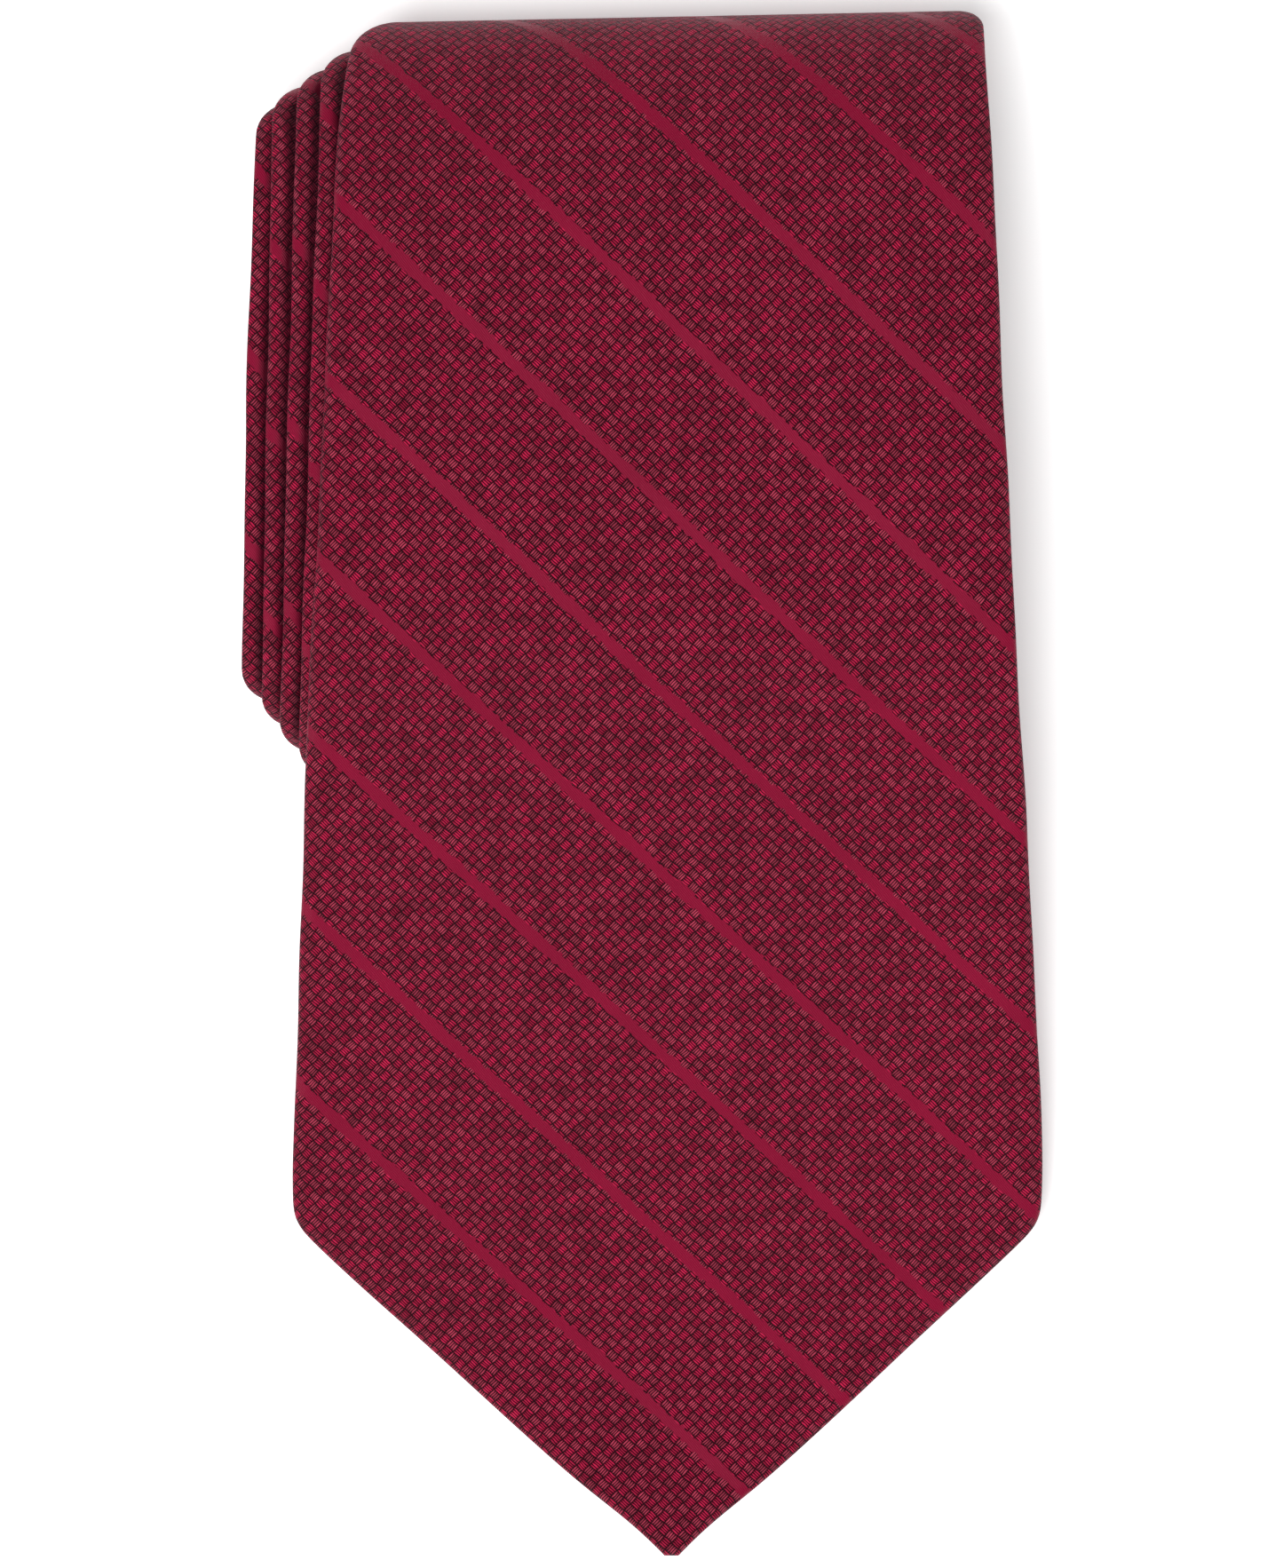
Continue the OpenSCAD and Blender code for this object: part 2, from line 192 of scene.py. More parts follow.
def top_fold(k):
    zp = pole_z(k, k)
    c, a = corner(k, zp - back_z(k)), top_y(k) - apex_y(k)
    return (quarter(top_y(k) - a, zp, a, front_z(k) - zp, 90, 0, FOLD_EXP)
            + quarter(top_y(k) - c, zp, c, zp - back_z(k), 0, -90, 1))


def bottom_fold(k):
    zp = pole_z(k, k + 1)
    c, a = corner(k, zp - back_z(k)), apex_y(k + 1) - bottom_y(k)
    return (quarter(bottom_y(k) + c, zp, c, zp - back_z(k), 270, 180, 1)
            + quarter(bottom_y(k) + a, zp, a, front_z(k + 1) - zp, 180, 90, FOLD_EXP))


def free_blade():
    """Points of the blade: its point flat on the table, then a straight slope to the roll."""
    reach, zp = apex_y(0) - bottom_y(-1), pole_z(0, 0)
    rise = front_z(0) - zp

    def on_dome(angle):
        a = math.radians(angle)
        return (apex_y(0) - reach * math.cos(a) ** FOLD_EXP, zp + rise * math.sin(a) ** FOLD_EXP)

    def dome_slope(angle):
        return rise / reach * (1 / math.tan(math.radians(angle))) ** (2 - FOLD_EXP)

    touch, low, high = Y_TIP + POINT_REST, 5.0, 88.0
    for _ in range(30):
        mid = (low + high) / 2
        y, z = on_dome(mid)
        if y - (z - PLY_R) / dome_slope(mid) > touch:
            low = mid
        else:
            high = mid
    leave_angle = (low + high) / 2
    leave, slope = on_dome(leave_angle), dome_slope(leave_angle)
    angle = math.atan(slope)
    toe_start = touch - TOE_R * math.tan(angle / 2)
    toe_end = toe_start + TOE_R * math.sin(angle)
    points = []
    for y in np.arange(Y_TIP, leave[0], 0.5):
        if y < toe_start:
            z = PLY_R
        elif y < toe_end:
            z = PLY_R + TOE_R - math.sqrt(TOE_R ** 2 - (y - toe_start) ** 2)
        else:
            z = leave[1] - (leave[0] - y) * slope
        points.append((y, z))
    rest = 90 - leave_angle
    return points + [on_dome(leave_angle + rest * i / QUARTER_STEPS) for i in range(QUARTER_STEPS)]


FREE = free_blade()
PATH = list(FREE)
TURN_STARTS = []
TO_FOLD = [60.0] * len(FREE)     # distance in plan from the end of the nearest fold
for turn in range(TURNS):
    TURN_STARTS.append(len(PATH))
    over, back = top_fold(turn), bottom_fold(turn)
    TO_FOLD += [top_y(turn) - y for y, z in over] + [y - bottom_y(turn) for y, z in back]
    PATH += over + back
PATH = np.array(PATH)
TO_FOLD = np.array(TO_FOLD)
STEPS = np.hypot(*np.diff(PATH, axis=0).T)
RUN = np.concatenate([[0.0], np.cumsum(STEPS)])
TIE_L = RUN[-1]
TANGENT = np.gradient(PATH, RUN, axis=0)
TANGENT /= np.linalg.norm(TANGENT, axis=1)[:, None]
NORMAL = np.stack([-TANGENT[:, 1], TANGENT[:, 0]], axis=1)
BEND = np.abs(np.gradient(np.unwrap(np.arctan2(TANGENT[:, 1], TANGENT[:, 0])), RUN))
TURN_AT = (np.append(RUN[TURN_STARTS], TIE_L), np.arange(TURNS + 1) - APEX_TURN)


def along(values, s):
    return np.interp(s, RUN, values)


def smooth(t):
    u = np.clip(t, 0, 1)
    return u * u * (3 - 2 * u)


def soft_max(a, b, c):
    return np.maximum(a, b) + c * np.log1p(np.exp(-np.abs(a - b) / c))


def soft_min(a, b, c):
    return -soft_max(-a, -b, c)


def half_width(s):
    """Half the tie's width at a distance along it."""
    blade = BLADE_W / 2 - BLADE_TAPER / 2 * (s - BLADE_POINT)
    tail = TAIL_W / 2 - TAIL_TAPER / 2 * (TIE_L - TAIL_POINT - s)
    body = soft_max(soft_max(blade, NECK_W / 2 - 1, 3), np.minimum(tail, TAIL_W / 2), 1.5)
    blade_tip = BLUNT_W / 2 + (BLADE_W - BLUNT_W) / 2 * s / BLADE_POINT
    tail_tip = BLUNT_W / 2 + (TAIL_W - BLUNT_W) / 2 * (TIE_L - s) / TAIL_POINT
    return soft_min(body, np.minimum(blade_tip, tail_tip), 0.9)


ROLL_LEFT = float(half_width(RUN[TURN_STARTS[0]]))


def raw_centre(s):
    """Where the tie's middle is across X, before the whole is centred."""
    w = np.interp(s, *TURN_AT)
    n = w + APEX_TURN
    stepped, deeper = np.minimum(n, STEPPED_TURNS), np.maximum(0, n - STEPPED_TURNS)
    left = -ROLL_LEFT - SIDE_STEP * stepped + STEP_BACK * deeper
    lean = SIDE_LEAN * (1 - DEEP_LEAN_LESS * np.clip((n - 1) / 3, 0, 1))
    lean = lean * (along(PATH[:, 0], s) - (Y_TOP + Y_BOTTOM) / 2)
    return smooth(w / 0.5) * (left + lean + half_width(s))


X_SHIFT = -((raw_centre(RUN) - half_width(RUN)).min()
            + (raw_centre(RUN) + half_width(RUN)).max()) / 2
DRIFT_AT_POINT = -0.1
DRIFTS = ((0.5, 0.0, BLADE_POINT), (0.85, 60.0, 80.0), (-1.25, 185.0, 50.0))  # by, from, over


def centre(s):
    """Where the cloth's middle is across X; the blade lies a little left of the roll's middle."""
    drift = DRIFT_AT_POINT
    for by, start, over in DRIFTS:
        drift = drift + by * smooth((s - start) / over)
    return raw_centre(s) + X_SHIFT - drift


# ---------------------------------------------------------------- how the cloth lies
TILT = math.tan(math.radians(1.15))      # the rolled cloth's folds run slightly uphill
TILT_FROM_X = 38.0
SWELL = 0.10                             # how far the faces rise and fall
LEFT_CORNER, RIGHT_CORNER = 3.0, 1.4     # roundness of a fold's two corners in plan
BOW = 0.8                                # how far the edges of the blade's point stand out
SIDE_BOW = 0.5                           # the same down its long sides
FINE_TIP, FINE_TIP_AT, FINE_TIP_OVER = 0.7, 3.0, 4.2
TOP_PINCH = 1.6                          # the blade narrows on its left just below the top fold
LEFT_STRAIGHTER = 0.8                    # and stands in a little along its left side


def corner_cut(s, radius):
    """How far a rounded corner takes the cloth's edge in, near the end of a fold."""
    d = np.clip(radius - along(TO_FOLD, s), 0, radius)
    return radius - np.sqrt(radius ** 2 - d ** 2)


def edge_wave(s, seed):
    """The slight unevenness of a pressed edge."""
    return (0.05 * np.sin(s / 5.3 + seed) + 0.04 * np.sin(s / 2.9 + 2.1 * seed)
            + 0.05 * np.sin(s / 13.7 + seed))


def bow(s):
    """How far the blade's pressed edges stand out: along its point, and down its long sides."""
    t = np.clip(s / BLADE_POINT, 0, 1)
    fine_tip = FINE_TIP * np.exp(-((s - FINE_TIP_AT) / FINE_TIP_OVER) ** 2)
    return (3.6 * BOW * t * (1 - t) - fine_tip
            + SIDE_BOW * smooth((s - BLADE_POINT + 4) / 12) * (1 - smooth((s - 190) / 40)))


def left_reach(s):
    """How far the cloth's left edge is from its middle."""
    from_top = np.abs(along(PATH[:, 0], s) - Y_TOP)
    pinch = TOP_PINCH * np.exp(-from_top / 7) * (1 - smooth((s - 185) / 20))
    straighter = LEFT_STRAIGHTER * smooth((s - 85) / 50) * (1 - smooth((s - 190) / 40))
    return (half_width(s) + bow(s) - pinch - straighter - corner_cut(s, LEFT_CORNER)
            + edge_wave(s, 1.3) * smooth(half_width(s) / 20))


def right_reach(s):
    return (half_width(s) + bow(s) - corner_cut(s, RIGHT_CORNER)
            + edge_wave(s, 4.2) * smooth(half_width(s) / 20))


def settle(points):
    """Small lie of the whole rolled tie: folds tilted and the cloth gently uneven."""
    x, y, z = points[..., 0], points[..., 1], points[..., 2]
    high = np.clip(z / ROLL_H, 0, 1)
    y = y + TILT * (x - TILT_FROM_X) * smooth((y - 10) / 70)
    swell = (np.sin(x / 17 + y / 23 + 0.6) + 0.7 * np.sin(y / 14 - x / 29)
             + 0.5 * np.sin(x / 9 + y / 31 + 2))
    z = soft_max(z + SWELL * swell * high, 0.03, 0.02)          # never under the table
    return np.stack([x, y, z], axis=-1)


def world(s, x, n):
    """Points in metres, x across the tie from its middle and n outwards through its ply."""
    s, x, n = np.broadcast_arrays(np.asarray(s, float), x, n)
    y = along(PATH[:, 0], s) + along(NORMAL[:, 0], s) * n
    z = along(PATH[:, 1], s) + along(NORMAL[:, 1], s) * n
    return settle(np.stack([centre(s) + x, y, z], axis=-1)) * MM


def rows(start, end, widest, turning=0.1, extra=()):
    """Distances along the tie, closer together where it bends and near the extra places."""
    s = np.unique(np.concatenate([RUN[(RUN > start) & (RUN < end)], [start, end],
                                  np.arange(start, end, 0.25)]))
    density = np.maximum(1 / widest, along(BEND, s) / turning)
    for place, spacing, spread in extra:
        density = np.maximum(density, np.exp(-((s - place) / spread) ** 2) / spacing)
    effort = np.concatenate([[0.0], np.cumsum((density[1:] + density[:-1]) / 2 * np.diff(s))])
    count = max(2, int(math.ceil(effort[-1])) + 1)
    return np.interp(np.linspace(0, effort[-1], count), effort, s)


# ---------------------------------------------------------------- meshes
def add_piece(name, mesh):
    """Smooth faces, and the mesh in the scene as an object."""
    mesh.polygons.foreach_set("use_smooth", [True] * len(mesh.polygons))
    piece = bpy.data.objects.new(name, mesh)
    bpy.context.scene.collection.objects.link(piece)
    return piece


def mesh_object(name, vertices, faces, material, uvs, sharp, painted_shade):
    mesh = bpy.data.meshes.new(name)
    mesh.from_pydata(vertices.tolist(), [], faces.tolist())
    # painted shade: a share, per point, of the dark groove colour laid into the silk's colour
    if painted_shade is not None:
        shade = mesh.attributes.new("painted_groove_shade", "FLOAT", "POINT")
        shade.data.foreach_set("value", painted_shade.astype(np.float32).ravel())
    layer = mesh.uv_layers.new(name="cloth")
    loops = np.empty(len(mesh.loops), np.int32)
    mesh.loops.foreach_get("vertex_index", loops)
    layer.data.foreach_set("uv", uvs[loops].astype(np.float32).ravel())
    piece = add_piece(name, mesh)
    mesh.set_sharp_from_angle(angle=math.radians(sharp))
    mesh.materials.append(material)
    mesh.validate()
    return piece


def sweep(name, rings, uv, material, sharp=50, painted_shade=None):
    """A closed solid through rings of points, where point j of a ring faces point -1-j."""
    count, around = rings.shape[:2]
    at = np.arange(count * around).reshape(count, around)
    here, there = at[:-1], at[1:]
    sides = np.stack([here, np.roll(here, -1, 1), np.roll(there, -1, 1), there], axis=-1)
    j = np.arange(around // 2 - 1)
    cap = np.stack([at[0][j], at[0][around - 1 - j], at[0][around - 2 - j], at[0][j + 1]], axis=-1)
    end = np.stack([at[-1][j + 1], at[-1][around - 2 - j], at[-1][around - 1 - j], at[-1][j]], axis=-1)
    faces = np.concatenate([sides.reshape(-1, 4), cap, end])
    points = rings.reshape(-1, 3)
    a, b, c, d = (points[faces[:, i]] for i in range(4))
    volume = np.einsum("ij,ij->", a, np.cross(b, c)) + np.einsum("ij,ij->", a, np.cross(c, d))
    if volume < 0:
        faces = faces[:, ::-1]
    return mesh_object(name, points, faces, material, uv.reshape(-1, 2), sharp, painted_shade)


def spread(start, end, count, ease=0.0):
    """Numbers from start to end along a new last axis; ease crowds them to both ends."""
    t = np.linspace(0, 1, count)
    t = t * (1 - ease) + ease * (1 - np.cos(math.pi * t)) / 2
    start, end = np.asarray(start, float)[..., None], np.asarray(end, float)[..., None]
    return start + (end - start) * t


def groove(from_edge):
    """The dip of a rolled ply's face beside its rounded left edge."""
    return GROOVE_DEPTH * np.exp(-((from_edge - GROOVE_FROM_EDGE) / GROOVE_WIDTH) ** 2)


def folded_section(left, right, top, under, roll_in, opening, grooved, counts):
    """The folded silk's cross-section: round the outside from the back seam, then back round
    the inside. Returns x, n and the flat distance u round the cloth, each (rows, points)."""
    flap, bend, face = counts
    lows = np.minimum(roll_in * 0.6, 0.8 * np.minimum(left, right))
    highs = np.minimum(roll_in, 0.8 * np.minimum(left, right))
    angles = np.linspace(0, math.pi / 2, bend + 1)[1:]
    out = np.sin(angles) ** EDGE_POWER               # share of the way out to the edge
    leave = 1 - np.append(np.cos(angles[:-1]) ** EDGE_POWER, 0.0)    # share of the way to the middle

    def corner_points(edge, low, high, side):
        """From the flap, round the edge, to the face, on one side."""
        flap_end, face_end = edge - low, edge - high
        x_low = flap_end[:, None] + low[:, None] * out
        n_low = -under[:, None] * (1 - leave)
        x_high = (face_end[:, None] + high[:, None] * out)[:, ::-1]
        n_high = (top[:, None] * (1 - leave))[:, ::-1]
        x = np.concatenate([x_low, x_high[:, 1:]], axis=1)
        n = np.concatenate([n_low, n_high[:, 1:]], axis=1)
        return side * x, n

    right_x, right_n = corner_points(right, lows, highs, 1)
    left_x, left_n = corner_points(left, lows, highs, -1)
    flap_r = spread(opening, right - lows, flap, 0.5)
    flap_l = spread(opening, left - lows, flap, 0.5)
    face_x = spread(right - highs, -(left - highs), face, 0.35)
    if grooved.max() > 0:                # more points beside the left edge, for the groove
        plain = spread(right - highs, -(left - 5.0), face - 10, 0.2)
        face_x = np.concatenate([plain, spread(-(left - 4.6), -(left - highs), 10, 0.0)], axis=1)
    x = np.concatenate([flap_r, right_x, face_x, left_x[:, ::-1], -flap_l[:, ::-1]], axis=1)
    back = np.repeat(-under[:, None], flap, 1)
    n = np.concatenate([back, right_n, np.repeat(top[:, None], face, 1), left_n[:, ::-1], back], axis=1)
    on_face = smooth((n - 0.2) / 0.3)
    n = n - grooved[:, None] * on_face * groove(left[:, None] + x)
    dx, dn = np.gradient(x, axis=1), np.gradient(n, axis=1)
    length = np.maximum(np.hypot(dx, dn), 1e-9)
    nx, nn = -dn / length, dx / length
    inner_x, inner_n = x + nx * WALL, n + nn * WALL
    step = np.hypot(np.diff(x, axis=1), np.diff(n, axis=1))
    u = np.concatenate([np.zeros((len(x), 1)), np.cumsum(step, axis=1)], axis=1)
    middle = flap + right_x.shape[1]
    at_face = np.array([np.interp(0, -x[i, middle:middle + face], u[i, middle:middle + face])
                        for i in range(len(x))])
    u = at_face[:, None] - u
    return [np.concatenate([outer, inner[:, ::-1]], axis=1)
            for outer, inner in ((x, inner_x), (n, inner_n), (u, u))]


def seam_opening(s):
    """Half the opening at the back seam, which widens to a V at each point."""
    from_tail = TIE_L - s
    blade_v = np.minimum(half_width(s) - HEM_W, BLADE_MEET - s)
    tail_v = np.minimum(half_width(s) - HEM_W, TAIL_MEET - from_tail)
    gap = soft_max(np.where(s < TIE_L / 2, blade_v, tail_v), SEAM_HALF, 0.1)
    return np.minimum(gap, 0.6 * half_width(s))


def pressed_flat(s):
    """From 0 on the plump free blade to 1 where the cloth is pressed into the roll."""
    return smooth((s - 150) / 55)


def on_points(s):
    """1 along the slanted edges of the two points and 0 between them."""
    return smooth((BLADE_POINT + 1 - s) / 3) + smooth((s - TIE_L + TAIL_POINT + 1) / 3)


def thin_ends(s):
    """Rounds the ply off over the last millimetre of each point."""
    nose, tail = (np.sqrt(np.clip(1 - (1 - np.minimum(d, 1.2) / 1.2) ** 2, 0.05, 1))
                  for d in (s, TIE_L - s))
    return nose * tail


def ply_top(s):
    """Height of the cloth's face above the middle of its ply, plumper on the free blade."""
    return (1.02 - 0.42 * pressed_flat(s)) * thin_ends(s)


def ply_under(s):
    return (PLY_R + 0.03 * pressed_flat(s)) * thin_ends(s)


def mitred(x, n, u, s, half):
    """The flat pattern, also on the hems turned over the slanted edges of the blade's point."""
    run, rise = (BLADE_W - BLUNT_W) / 2, BLADE_POINT
    length = math.hypot(run, rise)
    across = np.abs(x)
    from_slant = (s * run - (across - BLUNT_W / 2) * rise) / length
    hem = (n < -0.1) & (s < BLADE_MEET + 6) & (from_slant < half - across)
    flat_u = np.sign(x) * (across + 2 * from_slant * rise / length)
    return np.where(hem, flat_u, u), np.where(hem, s - 2 * from_slant * run / length, s)


CLOSER_ROWS = ((0, 0.25, 2.5), (BLADE_POINT, 0.35, 3.0), (BLADE_MEET, 0.5, 3.0),
               (TIE_L, 0.25, 2.5), (TIE_L - TAIL_POINT, 0.4, 2.0))      # place, spacing, reach


def silk(name, start, end, widest, material, counts, pattern_shift):
    """One stretch of the folded silk, as a closed shell with a wall, its flat size and area."""
    s = rows(start, end, widest, extra=CLOSER_ROWS)
    roll_in = (2.1 - 0.35 * pressed_flat(s)) * (1 + 0.45 * on_points(s))
    faces_up = smooth((along(NORMAL[:, 1], s) - 0.3) / 0.5)
    grooved = faces_up * smooth((s - 205) / 20) * smooth((half_width(s) - 10) / 4)
    x, n, u = folded_section(left_reach(s), right_reach(s), ply_top(s), ply_under(s), roll_in,
                             seam_opening(s), grooved, counts)
    row = np.repeat(s[:, None], x.shape[1], 1)
    flat_u, flat_v = mitred(x, n, u, row, half_width(s)[:, None])
    uv = np.stack([flat_u, flat_v + pattern_shift], axis=-1) * MM
    from_edge = left_reach(s)[:, None] + x
    # Painted shade: how far the silk's colour is darkened in the groove beside each rolled ply's left edge,
    # standing in for the shadow of the ply above.
    painted_shade = (grooved[:, None] * smooth((n + 0.6) / 0.4) * smooth((from_edge - 1.0) / 1.2)
              * (1 - smooth((from_edge - 3.0) / 1.5)))
    piece = sweep(name, world(row, x, n), uv, material, 60, painted_shade)
    area = float(np.trapz(np.ptp(u, axis=1), s)) * MM * MM
    width = float(np.ptp(u, axis=1).max()) * MM
    return piece, (width, (end - start) * MM), area


def strip(name, start, end, left, right, low, high, widest, material, columns):
    """A flat layer between two distances; left, right, low and high are functions of s."""
    s = rows(start, end, widest)
    x = spread(-left(s), right(s), columns, 0.2)
    x = np.concatenate([x, x[:, ::-1]], axis=1)
    n = np.concatenate([np.repeat(face(s)[:, None], columns, 1) for face in (high, low)], axis=1)
    row = np.repeat(s[:, None], x.shape[1], 1)
    return sweep(name, world(row, x, n), np.stack([x, row], axis=-1) * MM, material)


# ---------------------------------------------------------------- node helpers
def fill(tree, node, inputs):
    """Links or sets a node's inputs, named or numbered; None leaves one alone."""
    for key, value in inputs.items():
        if isinstance(value, bpy.types.NodeSocket):
            tree.links.new(value, node.inputs[key])
        elif value is not None:
            node.inputs[key].default_value = value


def add_node(tree, kind, inputs=None, **settings):
    node = tree.nodes.new(kind)
    for name, value in settings.items():
        setattr(node, name, value)
    fill(tree, node, inputs or {})
    return node


def calc(tree, operation, *values, clamp=False):
    """The result of a Math node on sockets or numbers."""
    return add_node(tree, "ShaderNodeMath", dict(enumerate(values)), operation=operation,
                    use_clamp=clamp).outputs[0]


def times(tree, a, b):
    return calc(tree, "MULTIPLY", a, b)


def times_plus(tree, a, b, c):
    return calc(tree, "MULTIPLY_ADD", a, b, c)


def minus(tree, a, b):
    return calc(tree, "SUBTRACT", a, b)


def mix_colour(tree, factor, a, b, blend="MIX"):
    a, b = (c if isinstance(c, bpy.types.NodeSocket) else (*c, 1.0) for c in (a, b))
    return add_node(tree, "ShaderNodeMix", {0: factor, 6: a, 7: b}, data_type="RGBA",
                    blend_type=blend).outputs[2]


def combine(tree, *values):
    """Up to three sockets as one vector."""
    return add_node(tree, "ShaderNodeCombineXYZ", dict(enumerate(values))).outputs[0]


def white_noise(tree, value, dimensions="3D"):
    """A random number from 0 to 1 for each value of a vector or number."""
    key = "W" if dimensions == "1D" else "Vector"
    return add_node(tree, "ShaderNodeTexWhiteNoise", {key: value},
                    noise_dimensions=dimensions).outputs["Value"]


def shade_range(tree, *values):
    """A value, its lowest and highest, and what those become."""
    return add_node(tree, "ShaderNodeMapRange", dict(enumerate(values))).outputs[0]


def noise(tree, vector, scale, detail=3.0, roughness=0.5):
    return add_node(tree, "ShaderNodeTexNoise", {
        "Vector": vector, "Scale": scale, "Detail": detail, "Roughness": roughness}).outputs[0]


def new_group(name, inputs, outputs):
    """A shader node group of numbers, with a vector where the default is None. Returns the
    tree, what it is given and where its results go."""
    tree = bpy.data.node_groups.new(name, "ShaderNodeTree")
    for label, default in inputs.items():
        kind = "NodeSocketVector" if default is None else "NodeSocketFloat"
        socket = tree.interface.new_socket(label, in_out="INPUT", socket_type=kind)
        if default is not None:
            socket.default_value = default
    for label in outputs:
        tree.interface.new_socket(label, in_out="OUTPUT", socket_type="NodeSocketFloat")
    return (tree, tree.nodes.new("NodeGroupInput").outputs,
            tree.nodes.new("NodeGroupOutput").inputs)


def bias_group():
    """Turns the flat cloth's place into distances across and along its stripes."""
    tree, given, out = new_group(
        "bias_cut", {"Place": None, "Angle": 0.768, "Wander": 0.00025, "Jitter": 0.00014},
        ("Across", "Along"))
    split = add_node(tree, "ShaderNodeSeparateXYZ", {0: given["Place"]})
    sine, cosine = (calc(tree, f, given["Angle"]) for f in ("SINE", "COSINE"))
    u, v = split.outputs[0], split.outputs[1]
    across = calc(tree, "ADD", times(tree, u, sine), times(tree, v, cosine))
    run = minus(tree, times(tree, u, cosine), times(tree, v, sine))
    for value, scale, label in ((across, 310.0, "Across"), (run, 270.0, "Along")):
        drift = minus(tree, noise(tree, given["Place"], scale, 2.0), 0.5)
        jitter = minus(tree, noise(tree, given["Place"], 5.5 * scale, 1.0), 0.5)
        moved = times_plus(tree, drift, given["Wander"], value)
        moved = times_plus(tree, jitter, given["Jitter"], moved)
        tree.links.new(moved, out[label])
    return tree


def basket_group():
    """Basket weave: squares of parallel yarns that pass over and under in turn."""
    tree, given, out = new_group(
        "basket_weave", {"Across": 0.0, "Along": 0.0, "Warp Pitch": 0.000261, "Warps": 4.0,
                         "Weft Pitch": 0.000261, "Wefts": 4.0, "Float Dip": 0.5},
        ("Height", "Weft Up", "Tone", "Patch"))
    p = calc(tree, "DIVIDE", given["Across"], given["Warp Pitch"])
    q = calc(tree, "DIVIDE", given["Along"], given["Weft Pitch"])
    cell_p = calc(tree, "DIVIDE", p, given["Warps"])
    cell_q = calc(tree, "DIVIDE", q, given["Wefts"])
    ip, iq = calc(tree, "FLOOR", cell_p), calc(tree, "FLOOR", cell_q)
    weft = calc(tree, "FLOORED_MODULO", calc(tree, "ADD", ip, iq), 2.0)

    def yarn(across, run):
        """One set of yarns: round across, and dipping where each float ends."""
        ridge, arch = (calc(tree, "SINE", times(tree, calc(tree, "FRACT", v), math.pi))
                       for v in (across, run))
        arch = calc(tree, "POWER", arch, given["Float Dip"])
        return times(tree, times_plus(tree, ridge, 0.9, 0.1), arch)

    warp_height, weft_height = yarn(p, cell_q), yarn(q, cell_p)

    def shown(on_warp, on_weft):
        """The value of whichever set of yarns is on top."""
        return times_plus(tree, minus(tree, on_weft, on_warp), weft, on_warp)

    number = shown(calc(tree, "FLOOR", p), calc(tree, "FLOOR", q))
    for label, value in (("Height", shown(warp_height, weft_height)), ("Weft Up", weft),
                         ("Tone", white_noise(tree, combine(tree, ip, iq, number))),
                         ("Patch", white_noise(tree, combine(tree, ip, iq)))):
        tree.links.new(value, out[label])
    return tree


TOOTH, EDGE_SOFTNESS, RIB_PITCH = 0.00030, 0.00008, 0.00021      # metres, of a satin stripe


def stripe_group():
    """Narrow satin stripes that repeat across the bias, with uneven teeth and fine ribs."""
    tree, given, out = new_group(
        "satin_stripe", {"Across": 0.0, "Along": 0.0, "Repeat": 0.01531, "Width": 0.0012,
                         "Start": 0.0108, "Step": 0.00052},
        ("Stripe", "Rib"))
    stepped = calc(tree, "SNAP", given["Along"], given["Step"])
    jog = white_noise(tree, calc(tree, "DIVIDE", stepped, given["Step"]), "1D")
    place = calc(tree, "DIVIDE", minus(tree, given["Across"], given["Start"]), given["Repeat"])
    turn = minus(tree, calc(tree, "FRACT", calc(tree, "ADD", place, 0.5)), 0.5)
    away = times(tree, calc(tree, "ABSOLUTE", turn), given["Repeat"])
    half = times_plus(tree, jog, TOOTH, times(tree, given["Width"], 0.42))
    edge = calc(tree, "DIVIDE", minus(tree, half, away), EDGE_SOFTNESS)
    tree.links.new(calc(tree, "ADD", edge, 0.5, clamp=True), out["Stripe"])
    ribs = times_plus(tree, given["Along"], 0.16, given["Across"])
    rib = calc(tree, "SINE", calc(tree, "DIVIDE", ribs, RIB_PITCH / (2 * math.pi)))
    tree.links.new(times_plus(tree, rib, 0.5, 0.5), out["Rib"])
    return tree


def principled(name, roughness=0.6, sheen=0.0, sheen_tint=(1, 1, 1), sheen_roughness=0.4,
               specular=0.5):
    material = bpy.data.materials.new(name)
    material.use_nodes = True
    tree = material.node_tree
    shader = next(n for n in tree.nodes if n.type == "BSDF_PRINCIPLED")
    fill(tree, shader, {"Roughness": roughness, "Sheen Weight": sheen,
                        "Sheen Roughness": sheen_roughness, "Sheen Tint": (*sheen_tint, 1.0),
                        "Specular IOR Level": specular})
    return material, tree, shader


def dress(tree, shader, colour, height, distance, strength, roughness=None):
    """The colour, and the bumps of a height in metres, of a surface."""
    bumps = add_node(tree, "ShaderNodeBump", {"Height": height, "Distance": distance,
                                              "Strength": strength})
    fill(tree, shader, {"Base Color": colour, "Normal": bumps.outputs[0], "Roughness": roughness})


def cloth_place(tree):
    return add_node(tree, "ShaderNodeUVMap", uv_map="cloth").outputs[0]


def object_place(tree):
    return add_node(tree, "ShaderNodeTexCoord").outputs["Object"]


def linear(r, g, b):
    """A display colour, 0 to 255, as the linear colour that shaders use."""
    return tuple(c / 12.92 if c <= 0.04045 else ((c + 0.055) / 1.055) ** 2.4
                 for c in (r / 255, g / 255, b / 255))


# ---------------------------------------------------------------- materials
BIAS, BASKET, STRIPE = bias_group(), basket_group(), stripe_group()
CRIMSON_WARP = linear(172, 26, 64)
ROSE_WEFT = linear(158, 51, 73)
# painted shade in the gaps between the yarns
PAINTED_YARN_GAP_SHADE = linear(26, 0, 8)
STRIPE_SATIN = linear(138, 14, 50)
# painted shadow for the grooves beside the rolled plies' left edges
PAINTED_GROOVE_SHADOW = linear(22, 0, 6)


